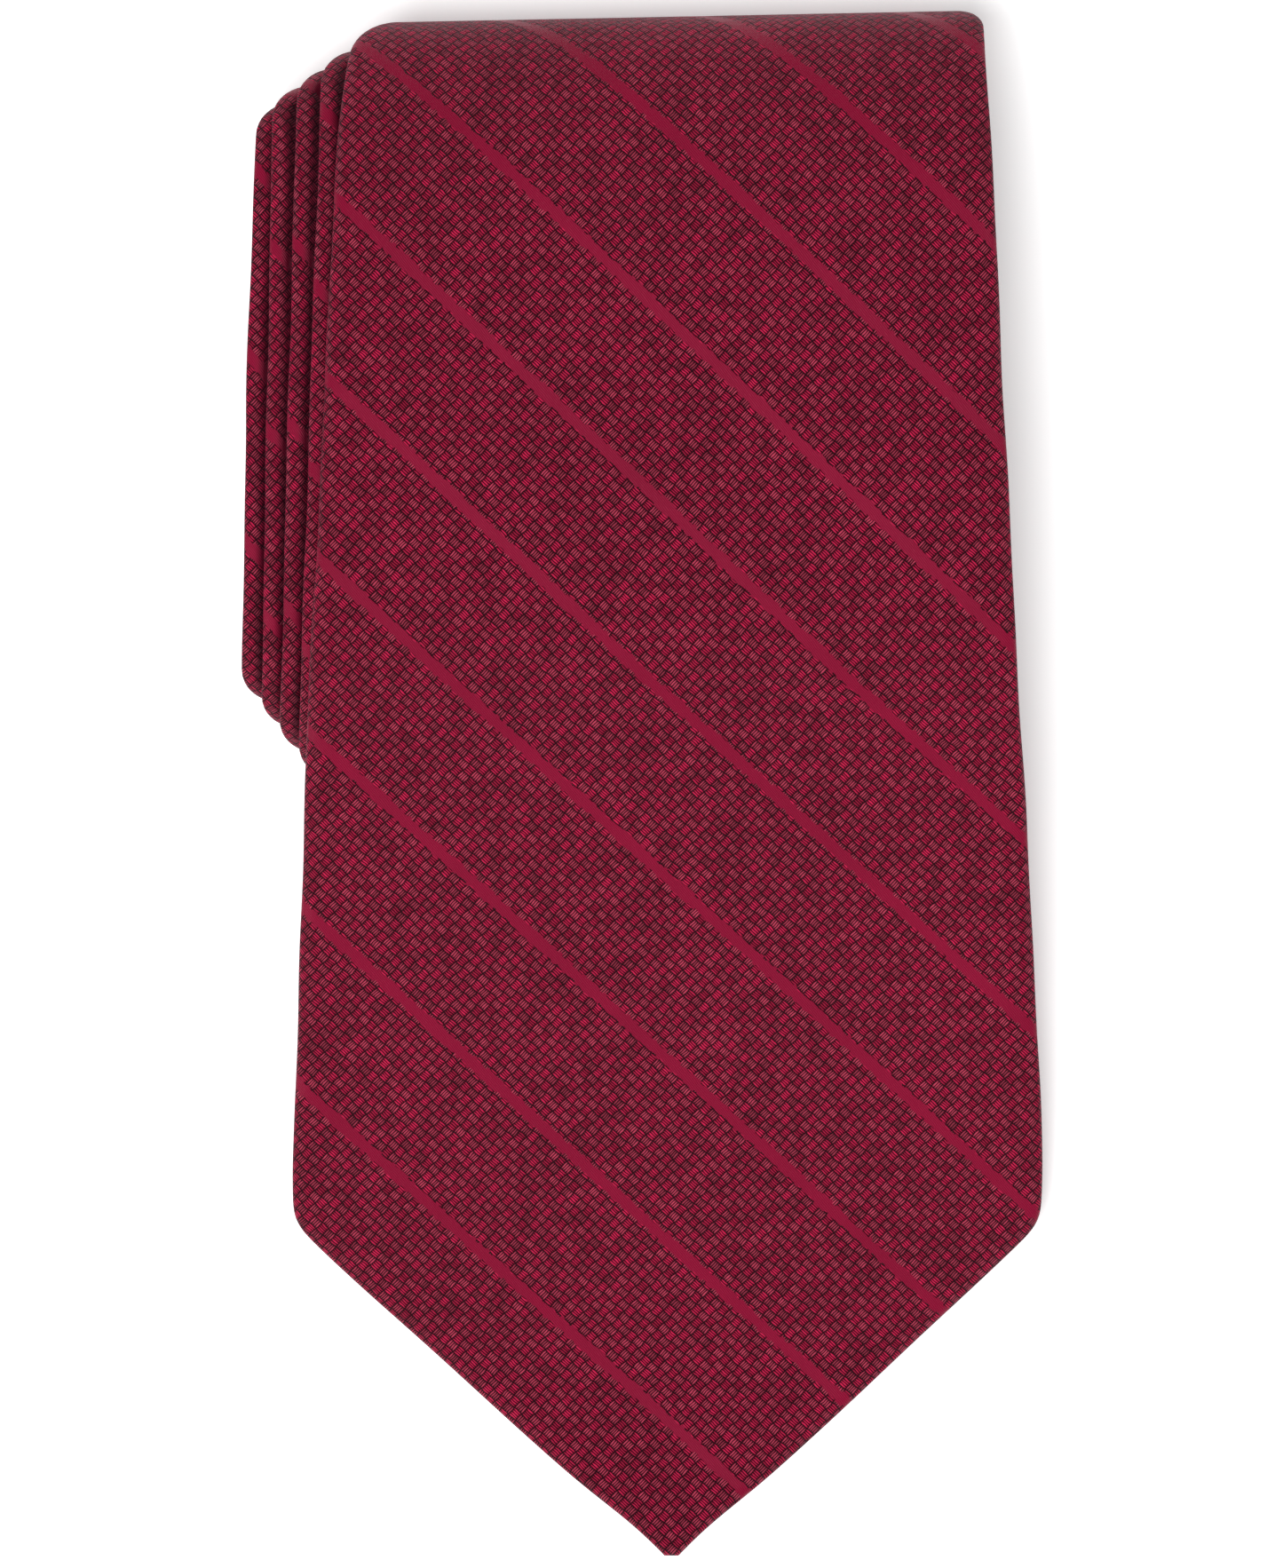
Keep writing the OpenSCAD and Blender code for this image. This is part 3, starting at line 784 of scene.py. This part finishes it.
def silk_material(name):
    """Basket-woven silk with narrow satin stripes on the bias."""
    material, tree, shader = principled(name, sheen=0.03, sheen_tint=(1.0, 0.45, 0.7), sheen_roughness=0.3,
                                        specular=0.16)
    fill(tree, shader, {"Specular Tint": (1.0, 0.5, 0.62, 1.0)})
    place = cloth_place(tree)
    bias = add_node(tree, "ShaderNodeGroup", {"Place": place}, node_tree=BIAS).outputs
    on_bias = {label: bias[label] for label in ("Across", "Along")}
    basket = add_node(tree, "ShaderNodeGroup", on_bias, node_tree=BASKET).outputs
    stripe = add_node(tree, "ShaderNodeGroup", on_bias, node_tree=STRIPE).outputs
    yarn = mix_colour(tree, basket["Weft Up"], CRIMSON_WARP, ROSE_WEFT)
    # Painted shade: the weave's low places, between the yarns, are darkened towards near-black.
    yarn_gap_shade = shade_range(tree, basket["Height"], 0.3, 0.9, 0.0, 1.0)
    woven = mix_colour(tree, yarn_gap_shade, PAINTED_YARN_GAP_SHADE, yarn)
    between_ribs = tuple(c * 0.66 for c in STRIPE_SATIN)
    ribbed = mix_colour(tree, stripe["Rib"], between_ribs, STRIPE_SATIN)
    colour = mix_colour(tree, stripe["Stripe"], woven, ribbed)
    uneven = times_plus(tree, basket["Patch"], 0.4, times(tree, basket["Tone"], 0.6))
    plain = minus(tree, 1.0, stripe["Stripe"])
    by_yarn = minus(tree, shade_range(tree, uneven, 0.1, 0.9, 0.62, 1.38), 1.0)
    tone = times_plus(tree, by_yarn, plain, 1.0)
    clouds = times_plus(tree, noise(tree, place, 45.0, 3.0), 0.6,
                        times(tree, noise(tree, place, 190.0, 2.0), 0.4))
    shade = times(tree, tone, shade_range(tree, clouds, 0.3, 0.7, 0.9, 1.1))
    grey = add_node(tree, "ShaderNodeCombineColor", {0: shade, 1: shade, 2: shade}).outputs[0]
    toned = mix_colour(tree, 1.0, colour, grey, "MULTIPLY")
    # Painted shade: darkens the colour in the grooves beside the rolled plies' left edges.
    fold = add_node(tree, "ShaderNodeAttribute", attribute_name="painted_groove_shade").outputs["Fac"]
    with_painted_shade = mix_colour(tree, times(tree, fold, 0.8), toned, PAINTED_GROOVE_SHADOW)
    rough = shade_range(tree, stripe["Stripe"], 0.0, 1.0, 0.6, 0.48)
    ribs = times(tree, stripe["Rib"], times(tree, stripe["Stripe"], 0.3))
    height = times_plus(tree, basket["Height"], plain,
                        times_plus(tree, stripe["Stripe"], 0.55, ribs))
    dress(tree, shader, with_painted_shade, height, 0.00012, 1.0, rough)
    return material


def wool_material():
    material, tree, shader = principled("interlining_brushed_wool", 0.95, sheen=0.3)
    place = cloth_place(tree)
    fibre = noise(tree, place, 2600.0, 4.0, 0.65)
    cloudy = noise(tree, place, 240.0, 3.0)
    colour = mix_colour(tree, shade_range(tree, fibre, 0.3, 0.7, 0.0, 1.0), linear(205, 200, 184),
                        linear(238, 235, 226))
    shaded = mix_colour(tree, shade_range(tree, cloudy, 0.35, 0.7, 0.0, 0.35), colour,
                        linear(196, 190, 176))
    dress(tree, shader, shaded, fibre, 0.0002, 0.7)
    return material


def diagonal_bands(tree, vector, scale, distortion=0.0):
    return add_node(tree, "ShaderNodeTexWave", {
        "Vector": vector, "Scale": scale, "Distortion": distortion},
        wave_type="BANDS", bands_direction="DIAGONAL").outputs["Fac"]


def satin_material(name, light, dark, ribs=5200.0, roughness=0.38):
    """Smooth lining cloth with fine steep ribs."""
    material, tree, shader = principled(name, roughness, sheen=0.1, specular=0.5)
    place = cloth_place(tree)
    wave = diagonal_bands(tree, place, ribs / (2 * math.pi) / 1.2, 0.6)
    slub = noise(tree, place, 700.0, 3.0)
    factor = times_plus(tree, wave, 0.6, times(tree, slub, 0.4))
    gloss = shade_range(tree, slub, 0.3, 0.7, roughness - 0.06, roughness + 0.08)
    dress(tree, shader, mix_colour(tree, factor, dark, light), factor, 0.00004, 0.6, gloss)
    return material


def thread_material(name, light, dark):
    """Twisted sewing thread, whose plies wind round it."""
    material, tree, shader = principled(name, 0.6, sheen=0.25, specular=0.3)
    place = object_place(tree)
    fuzz = noise(tree, place, 9000.0, 2.0)
    factor = times_plus(tree, diagonal_bands(tree, place, 2300.0), 0.7, times(tree, fuzz, 0.3))
    dress(tree, shader, mix_colour(tree, factor, dark, light), factor, 0.00005, 0.8)
    return material


FLOOR_GLOW = 0.34         # keeps the pale table white under a soft shadow


def floor_material():
    material, tree, shader = principled("pale_table", 0.9, specular=0.1)
    mottle = noise(tree, object_place(tree), 14.0, 4.0)
    white = mix_colour(tree, mottle, (0.93, 0.93, 0.93), (0.95, 0.95, 0.95))
    fill(tree, shader, {"Base Color": white, "Emission Color": (1.0, 1.0, 1.0, 1.0),
                        "Emission Strength": FLOOR_GLOW})
    return material


SILK = silk_material("striped_basket_silk")
WOOL = wool_material()
TIPPING = satin_material("tipping_satin", linear(112, 22, 46), linear(84, 12, 30))
THREAD = thread_material("sewing_thread", linear(150, 40, 66), linear(96, 18, 38))
LABEL = satin_material("label_damask_blank", linear(44, 36, 42), linear(26, 20, 25), 4200.0, 0.5)
TAPE = satin_material("care_tape_blank", linear(242, 240, 234), linear(222, 219, 210), 4200.0, 0.5)

# ---------------------------------------------------------------- silk
SILK_PIECES = (
    ("blade_silk_apron", 0.0, APRON_END, 0.9, "blade_shell_apron", "apron_fold", 0.0, (16, 9, 44)),
    ("blade_silk_panel", APRON_END, PANEL_END, 0.9, "blade_shell_panel", "panel_fold", 0.0, (16, 9, 44)),
    ("blade_silk_rolled", PANEL_END, BLADE_PIECE - 0.2, 2.0, "blade_shell_rolled", "roll", 0.0, (8, 7, 26)),
    ("neck_silk", BLADE_PIECE + 0.2, NECK_END - 0.2, 2.4, "neck_shell", "roll", 6.0, (8, 6, 22)),
    ("tail_silk", NECK_END + 0.2, TIE_L, 2.2, "tail_shell", "roll", 11.0, (8, 6, 22)),
)
BEND_HALF = 9.0           # the two bend points lie this far to each side of a hinge line


def hinge_point(joint_name):
    """How far along the tie a hinge line crosses the blade."""
    place = next(j for j in frame["joints"] if j["name"] == joint_name)["pos_m"]
    target = np.array(place[1:]) / MM
    s = np.linspace(60, 190, 2601)
    gap = np.hypot(along(PATH[:, 0], s) - target[0], along(PATH[:, 1], s) - target[1])
    return float(s[gap.argmin()])


def bend_line(s_from, s_to):
    """The two middle points of the ply on either side of a hinge line."""
    return [tuple(world(s, 0.0, 0.0)) for s in (s_from, s_to)]


LIFT_AT, BEND_AT = hinge_point("blade_lift"), hinge_point("blade_bend")
LIFT_LINE = bend_line(LIFT_AT + BEND_HALF, LIFT_AT - BEND_HALF)
BEND_LINE = bend_line(BEND_AT + BEND_HALF, BEND_AT - BEND_HALF)


def carry(piece, node, body):
    """Puts a piece on its body in place of its CAD node; a piece on a fold is left unparented."""
    if body == "panel_fold":
        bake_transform(piece)
    elif body == "apron_fold":
        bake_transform(piece)
    else:
        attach(piece, body)
    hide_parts(node)


def declare(piece, node, body):
    """Puts a sheet of cloth in place of its CAD node."""
    carry(piece, node, body)


def make_silk():
    for name, start, end, widest, node, body, shift, counts in SILK_PIECES:
        piece, flat, area = silk(name, start, end, widest, SILK, counts, shift)
        declare(piece, node, body)


# ---------------------------------------------------------------- linings
def inside(reach, free_inset, rolled_inset):
    """Half the width of a layer that lies inside the folded silk."""
    def half(s):
        inset = free_inset + (rolled_inset - free_inset) * smooth((s - 185) / 30)
        return np.maximum(reach(s) - inset * (1 + 0.5 * on_points(s)), 0.3)
    return half


def pressed(s):
    """How thin the lining is pressed where the blade bends back, from 0 to 1."""
    return np.exp(-((s - LIFT_AT) / 13) ** 4) + np.exp(-((s - BEND_AT) / 13) ** 4)


def lining_high(s):
    return ply_top(s) - WALL - 0.06 - 0.42 * pressed(s)


def lining_low(s):
    return 0.38 * pressed(s) - PLY_R + WALL + 0.12


def fixed(value):
    """The same value at every distance."""
    return lambda s: 0 * s + value


TIPPING_LOW, TIPPING_HIGH = fixed(-PLY_R + WALL + 0.02), fixed(-PLY_R + WALL + 0.10)
LINING_PIECES = (
    ("brushed_lining_apron", 6.0, APRON_END - 0.2, "interlining_apron", "apron_fold"),
    ("brushed_lining_panel", APRON_END, PANEL_END - 0.2, "interlining_panel", "panel_fold"),
    ("brushed_lining_rolled", PANEL_END, TIE_L - 6.0, "interlining_rolled", "roll"),
)


def flat_size(start, end, left, right):
    s = np.linspace(start, end, 400)
    width = left(s) + right(s)
    return (float(width.max()) * MM, (end - start) * MM), float(np.trapz(width, s)) * MM * MM


def make_linings():
    left, right = inside(left_reach, 2.3, 4.6), inside(right_reach, 2.3, 2.2)
    for name, start, end, node, body in LINING_PIECES:
        widest = 3.0 if body == "roll" else 0.8
        piece = strip(name, start, end, left, right, lining_low, lining_high, widest, WOOL, 12)
        flat, area = flat_size(start, end, left, right)
        declare(piece, node, body)
    for name, start, end, node, body in (
            ("satin_tipping_blade", 5.0, BLADE_TIPPING_L, "blade_tipping", "apron"),
            ("satin_tipping_tail", TIE_L - TAIL_TIPPING_L, TIE_L - 5.0, "tail_tipping", "roll")):
        piece = strip(name, start, end, left, right, TIPPING_LOW, TIPPING_HIGH, 2.5, TIPPING, 30)
        flat, area = flat_size(start, end, left, right)
        declare(piece, node, body)


# ---------------------------------------------------------------- loop, label and tag
SEWN_ON = -PLY_R - THREAD_GAP


def keeper_line():
    """The loop's middle line across the tie, x and n: flat tabs with a slack bow between."""
    x = np.linspace(-LOOP_SPAN / 2, LOOP_SPAN / 2, 81)
    under = -PLY_R - CLOTH_GAP - LOOP_T / 2
    n = under - (LOOP_SLACK - LOOP_T) * (1 - (np.abs(x) / (LOOP_SPAN / 2)) ** 4)
    tab_x = np.linspace(LOOP_SPAN / 2 + 0.4, LOOP_SPAN / 2 + LOOP_TAB, 7)
    x = np.concatenate([-tab_x[::-1], x, tab_x])
    n = np.concatenate([np.full(7, under), n, np.full(7, under)])
    return x, n


def keeper_section():
    """Points along the tie and through the loop's folded strip, flat distances, flat width."""
    half, thick, bend = LOOP_STRIP / 2, LOOP_T / 2, 5
    angles = np.linspace(-math.pi / 2, math.pi / 2, 2 * bend + 1)
    right = np.stack([half - thick + thick * np.cos(angles), thick * np.sin(angles)], axis=1)
    under = np.stack([np.linspace(0.06, half - thick, 7)[:-1], np.full(6, -thick)], axis=1)
    face = np.stack([np.linspace(half - thick, -half + thick, 13)[1:-1], np.full(11, thick)], axis=1)
    left = right[::-1] * (-1, 1)
    outer = np.concatenate([under, right, face, left, under[::-1] * (-1, 1)])
    step = np.gradient(outer, axis=0)
    step /= np.linalg.norm(step, axis=1)[:, None]
    inner = outer + np.stack([-step[:, 1], step[:, 0]], axis=1) * LOOP_WALL
    flat = np.concatenate([[0.0], np.cumsum(np.linalg.norm(np.diff(outer, axis=0), axis=1))])
    flat -= flat[-1] / 2
    return np.concatenate([outer, inner[::-1]]), np.concatenate([flat, flat[::-1]]), float(flat[-1] * 2)


def flat_on_blade(s, x, n, at):
    """Points of a piece that stands off the blade, straight on from the blade at one place."""
    y, z = along(PATH[:, 0], at), along(PATH[:, 1], at)
    ty, tz = along(TANGENT[:, 0], at), along(TANGENT[:, 1], at)
    points = np.stack([centre(at) + x, y + (s - at) * ty - n * tz, z + (s - at) * tz + n * ty], axis=-1)
    return settle(points) * MM


def make_keeper():
    x, n = keeper_line()
    run = np.concatenate([[0.0], np.cumsum(np.hypot(np.diff(x), np.diff(n)))])
    slope_x, slope_n = np.gradient(x, run), np.gradient(n, run)
    section, flat, width = keeper_section()
    across = x[:, None] + slope_n[:, None] * section[None, :, 1]
    through = n[:, None] - slope_x[:, None] * section[None, :, 1]
    s = LOOP_AT + np.repeat(section[None, :, 0], len(x), 0)
    rings = flat_on_blade(s, across, through, LOOP_AT)
    uv = np.stack([np.repeat(run[:, None], section.shape[0], 1),
                   np.repeat(flat[None, :], len(x), 0)], axis=-1) * MM
    piece = sweep("keeper_strip", rings, uv, SILK, sharp=60)
    declare(piece, "keeper_loop", "apron")


def make_label_and_tag():
    label_end = LABEL_AT + LABEL_H
    low, high = fixed(SEWN_ON - LABEL_T), fixed(SEWN_ON)
    for name, node, start, length, width, material, slot in (
            ("woven_label", "blank_label", LABEL_AT, LABEL_H, LABEL_W, LABEL, "label_damask"),
            ("satin_care_tag", "care_tag", label_end + 1, TAG_H, TAG_W, TAPE, "care_tape")):
        half, end = fixed(width / 2), start + length
        piece = strip(name, start, end, half, half, low, high, 1.5, material, 24)
        flat, area = flat_size(start, end, half, half)
        declare(piece, node, "panel")


# ---------------------------------------------------------------- stitches
def stitch_tree():
    """Geometry Nodes: a rounded stitch at every spacing along a line, lying on the cloth."""
    tree = bpy.data.node_groups.new("stitch_row", "GeometryNodeTree")
    tree.interface.new_socket("Line", in_out="INPUT", socket_type="NodeSocketGeometry")
    for label, default in (("Spacing", 0.003), ("Stitch Length", 0.0016), ("Thread Radius", 0.0001),
                           ("Slant", 0.0), ("Unevenness", 0.12)):
        socket = tree.interface.new_socket(label, in_out="INPUT", socket_type="NodeSocketFloat")
        socket.default_value = default
    tree.interface.new_socket("Thread", in_out="INPUT", socket_type="NodeSocketMaterial")
    tree.interface.new_socket("Stitches", in_out="OUTPUT", socket_type="NodeSocketGeometry")
    given = add_node(tree, "NodeGroupInput").outputs

    line = add_node(tree, "GeometryNodeMeshToCurve", {0: given["Line"]}).outputs[0]
    even = add_node(tree, "GeometryNodeResampleCurve", mode="LENGTH")
    fill(tree, even, {"Curve": line, "Length": given["Spacing"]})

    up = add_node(tree, "GeometryNodeInputNamedAttribute", {"Name": "up"}, data_type="FLOAT_VECTOR")
    tangent = add_node(tree, "GeometryNodeInputTangent")
    lie = add_node(tree, "FunctionNodeAxesToRotation", {
        "Primary Axis": up.outputs["Attribute"], "Secondary Axis": tangent.outputs[0]},
        primary_axis="Z", secondary_axis="X").outputs[0]
    most = given["Unevenness"]
    uneven = add_node(tree, "FunctionNodeRandomValue", {
        2: times(tree, most, -1.0), 3: most, "Seed": 4}, data_type="FLOAT").outputs[1]
    turn = combine(tree, None, None, calc(tree, "ADD", given["Slant"], uneven))
    spin = add_node(tree, "FunctionNodeEulerToRotation", {0: turn}).outputs[0]
    turned = add_node(tree, "FunctionNodeRotateRotation", {
        "Rotation": lie, "Rotate By": spin}, rotation_space="LOCAL").outputs[0]

    stitch = add_node(tree, "GeometryNodeMeshUVSphere", {"Segments": 8, "Rings": 6, "Radius": 1.0})
    radius = given["Thread Radius"]
    size = combine(tree, times(tree, given["Stitch Length"], 0.5), radius, radius)
    shaped = add_node(tree, "GeometryNodeTransform", {
        "Geometry": stitch.outputs["Mesh"], "Scale": size}).outputs[0]
    sewn = add_node(tree, "GeometryNodeInstanceOnPoints", {
        "Points": even.outputs[0], "Instance": shaped, "Rotation": turned}).outputs[0]
    real = add_node(tree, "GeometryNodeRealizeInstances", {0: sewn}).outputs[0]
    dressed = add_node(tree, "GeometryNodeSetMaterial", {
        "Geometry": real, "Material": given["Thread"]}).outputs[0]
    add_node(tree, "NodeGroupOutput", {0: dressed})
    return tree


STITCH_ROW = stitch_tree()


def line_mesh(name, lines):
    """Lines on the cloth, each (s, x, n), with the cloth's outward direction at every point."""
    points, edges, up = [], [], []
    for s, x, n in lines:
        s, x, n = np.broadcast_arrays(np.asarray(s, float), x, n)
        here = world(s, x, n)
        out = here - world(s, x, 0 * n)
        first = len(points)
        points += here.tolist()
        up += (out / np.linalg.norm(out, axis=1)[:, None]).tolist()
        edges += [(first + i, first + i + 1) for i in range(len(s) - 1)]
    mesh = bpy.data.meshes.new(name)
    mesh.from_pydata(points, edges, [])
    layer = mesh.attributes.new("up", "FLOAT_VECTOR", "POINT")
    layer.data.foreach_set("vector", np.array(up, np.float32).ravel())
    return mesh


def stitches(name, lines, spacing, length, radius, slant):
    """Rows of stitches as one plain mesh."""
    source = bpy.data.objects.new(name + "_line", line_mesh(name + "_line", lines))
    bpy.context.scene.collection.objects.link(source)
    sewing = source.modifiers.new("sewing", "NODES")
    sewing.node_group = STITCH_ROW
    values = {"Spacing": spacing * MM, "Stitch Length": length * MM, "Thread Radius": radius * MM,
              "Slant": slant, "Thread": THREAD}
    for socket in STITCH_ROW.interface.items_tree:
        if socket.in_out == "INPUT" and socket.name in values:
            sewing[socket.identifier] = values[socket.name]
    bpy.context.view_layer.update()
    sewn = source.evaluated_get(bpy.context.evaluated_depsgraph_get())
    mesh = bpy.data.meshes.new_from_object(sewn)
    bpy.data.objects.remove(source)
    mesh.name = name
    return add_piece(name, mesh)


def seam_line(start, end):
    s = np.arange(start, end, 0.8)
    return s, 0 * s, -ply_under(s) - 0.02


def cross_line(s, half, n, count=24):
    return np.full(count, s), np.linspace(-half, half, count), n


def side_lines(start, end, x, n):
    """A line along the tie on its left and one on its right."""
    return [(np.linspace(start, end, 40), side * x, n) for side in (-1, 1)]


def make_stitches():
    """Rows of (name, node, body, lines, spacing, stitch length, thread radius, slant)."""
    tail_meet = TIE_L - TAIL_MEET
    rows_of_stitches = [
        (name, node, body, [seam_line(start, end)], 3.4, 1.5, 0.09, 1.05)
        for name, node, body, start, end in (
            ("slip_stitches_apron", "slip_stitch_apron", "apron_fold", BLADE_MEET + 1, APRON_END - 1),
            ("slip_stitches_panel", "slip_stitch_panel", "panel_fold", APRON_END + 1, PANEL_END - 1),
            ("slip_stitches_rolled", "slip_stitch_rolled", "roll", PANEL_END + 1, tail_meet - 1))]
    rows_of_stitches += [
        (name, node, body, [cross_line(s, 3.0, SEWN_ON - 0.04)], 0.26, 1.5, 0.12, math.pi / 2)
        for name, node, body, s in (
            ("bar_tack_blade", "blade_bar_tack", "apron", BLADE_MEET + 4),
            ("bar_tack_tail", "tail_bar_tack", "roll", tail_meet - 4))]
    for name, node, s in (("joining_stitches_blade", "blade_neck_seam", BLADE_PIECE),
                          ("joining_stitches_neck", "neck_tail_seam", NECK_END)):
        line = cross_line(s, float(half_width(np.array(s))) - 2.4, 0.58, 60)
        rows_of_stitches.append((name, node, "roll", [line], 2.0, 1.3, 0.08, math.pi / 2))
    tacks = side_lines(LOOP_AT - 3.5, LOOP_AT + 3.5, LOOP_SPAN / 2 + LOOP_TAB - 1,
                       SEWN_ON - LOOP_T - 0.04)
    ends = side_lines(LABEL_AT + 1.5, LABEL_AT + LABEL_H - 1.5, LABEL_W / 2 - 0.7,
                      SEWN_ON - LABEL_T - 0.02)
    rows_of_stitches += [
        ("keeper_stitches", "keeper_tacks", "apron", tacks, 0.9, 1.15, 0.1, 0.9),
        ("label_edge_stitches", "label_stitches", "panel", ends, 2.6, 1.3, 0.08, 0.75)]
    for name, node, body, lines, *settings in rows_of_stitches:
        carry(stitches(name, lines, *settings), node, body)


# ---------------------------------------------------------------- floor, light and camera
FLOOR_HALF = 3.0
WORLD_LIGHT = 0.35
SOFTBOX = ((-0.45, -0.6, 3.0), (0, 0, 0.01), 1.4, 91.0)      # place, aim, width, power
LENS, SENSOR, VIEW_WIDTH, SHARP_PLANE = 500.0, 36.0, 0.1741, 0.010
CAMERA_SHIFT = 0.0002


def make_floor():
    h = FLOOR_HALF
    mesh = bpy.data.meshes.new("table_top")
    mesh.from_pydata([(-h, -h, 0), (h, -h, 0), (h, h, 0), (-h, h, 0)], [], [(0, 1, 2, 3)])
    mesh.materials.append(floor_material())
    floor = bpy.data.objects.new("table_top", mesh)
    bpy.context.scene.collection.objects.link(floor)


def area_light(name, place, aim, size, power):
    light = bpy.data.lights.new(name, "AREA")
    light.shape, light.size, light.energy = "DISK", size, power
    lamp = bpy.data.objects.new(name, light)
    lamp.location = place
    direction = np.array(aim, float) - np.array(place, float)
    lamp.rotation_euler = Vector(direction).to_track_quat("-Z", "Y").to_euler()
    bpy.context.scene.collection.objects.link(lamp)


def make_studio():
    world_light = bpy.data.worlds.new("studio")
    world_light.use_nodes = True
    background = world_light.node_tree.nodes["Background"]
    background.inputs[0].default_value = (1.0, 1.0, 1.0, 1.0)
    background.inputs[1].default_value = WORLD_LIGHT
    bpy.context.scene.world = world_light
    area_light("overhead_softbox", *SOFTBOX)
    bpy.context.scene.view_settings.view_transform = "Standard"


def make_camera():
    """Looks straight down, from far enough that the tie hardly narrows with height."""
    data = bpy.data.cameras.new("camera")
    data.lens, data.sensor_width = LENS, SENSOR
    data.clip_end = 20.0
    camera = bpy.data.objects.new("camera", data)
    camera.location = ((CAD_LOW.x + CAD_HIGH.x) / 2 - CAMERA_SHIFT,
                       (CAD_LOW.y + CAD_HIGH.y) / 2 + CAMERA_SHIFT,
                       SHARP_PLANE + VIEW_WIDTH * LENS / SENSOR)
    bpy.context.scene.collection.objects.link(camera)
    bpy.context.scene.camera = camera


make_silk()
make_linings()
make_keeper()
make_label_and_tag()
make_stitches()
make_floor()
make_studio()
make_camera()
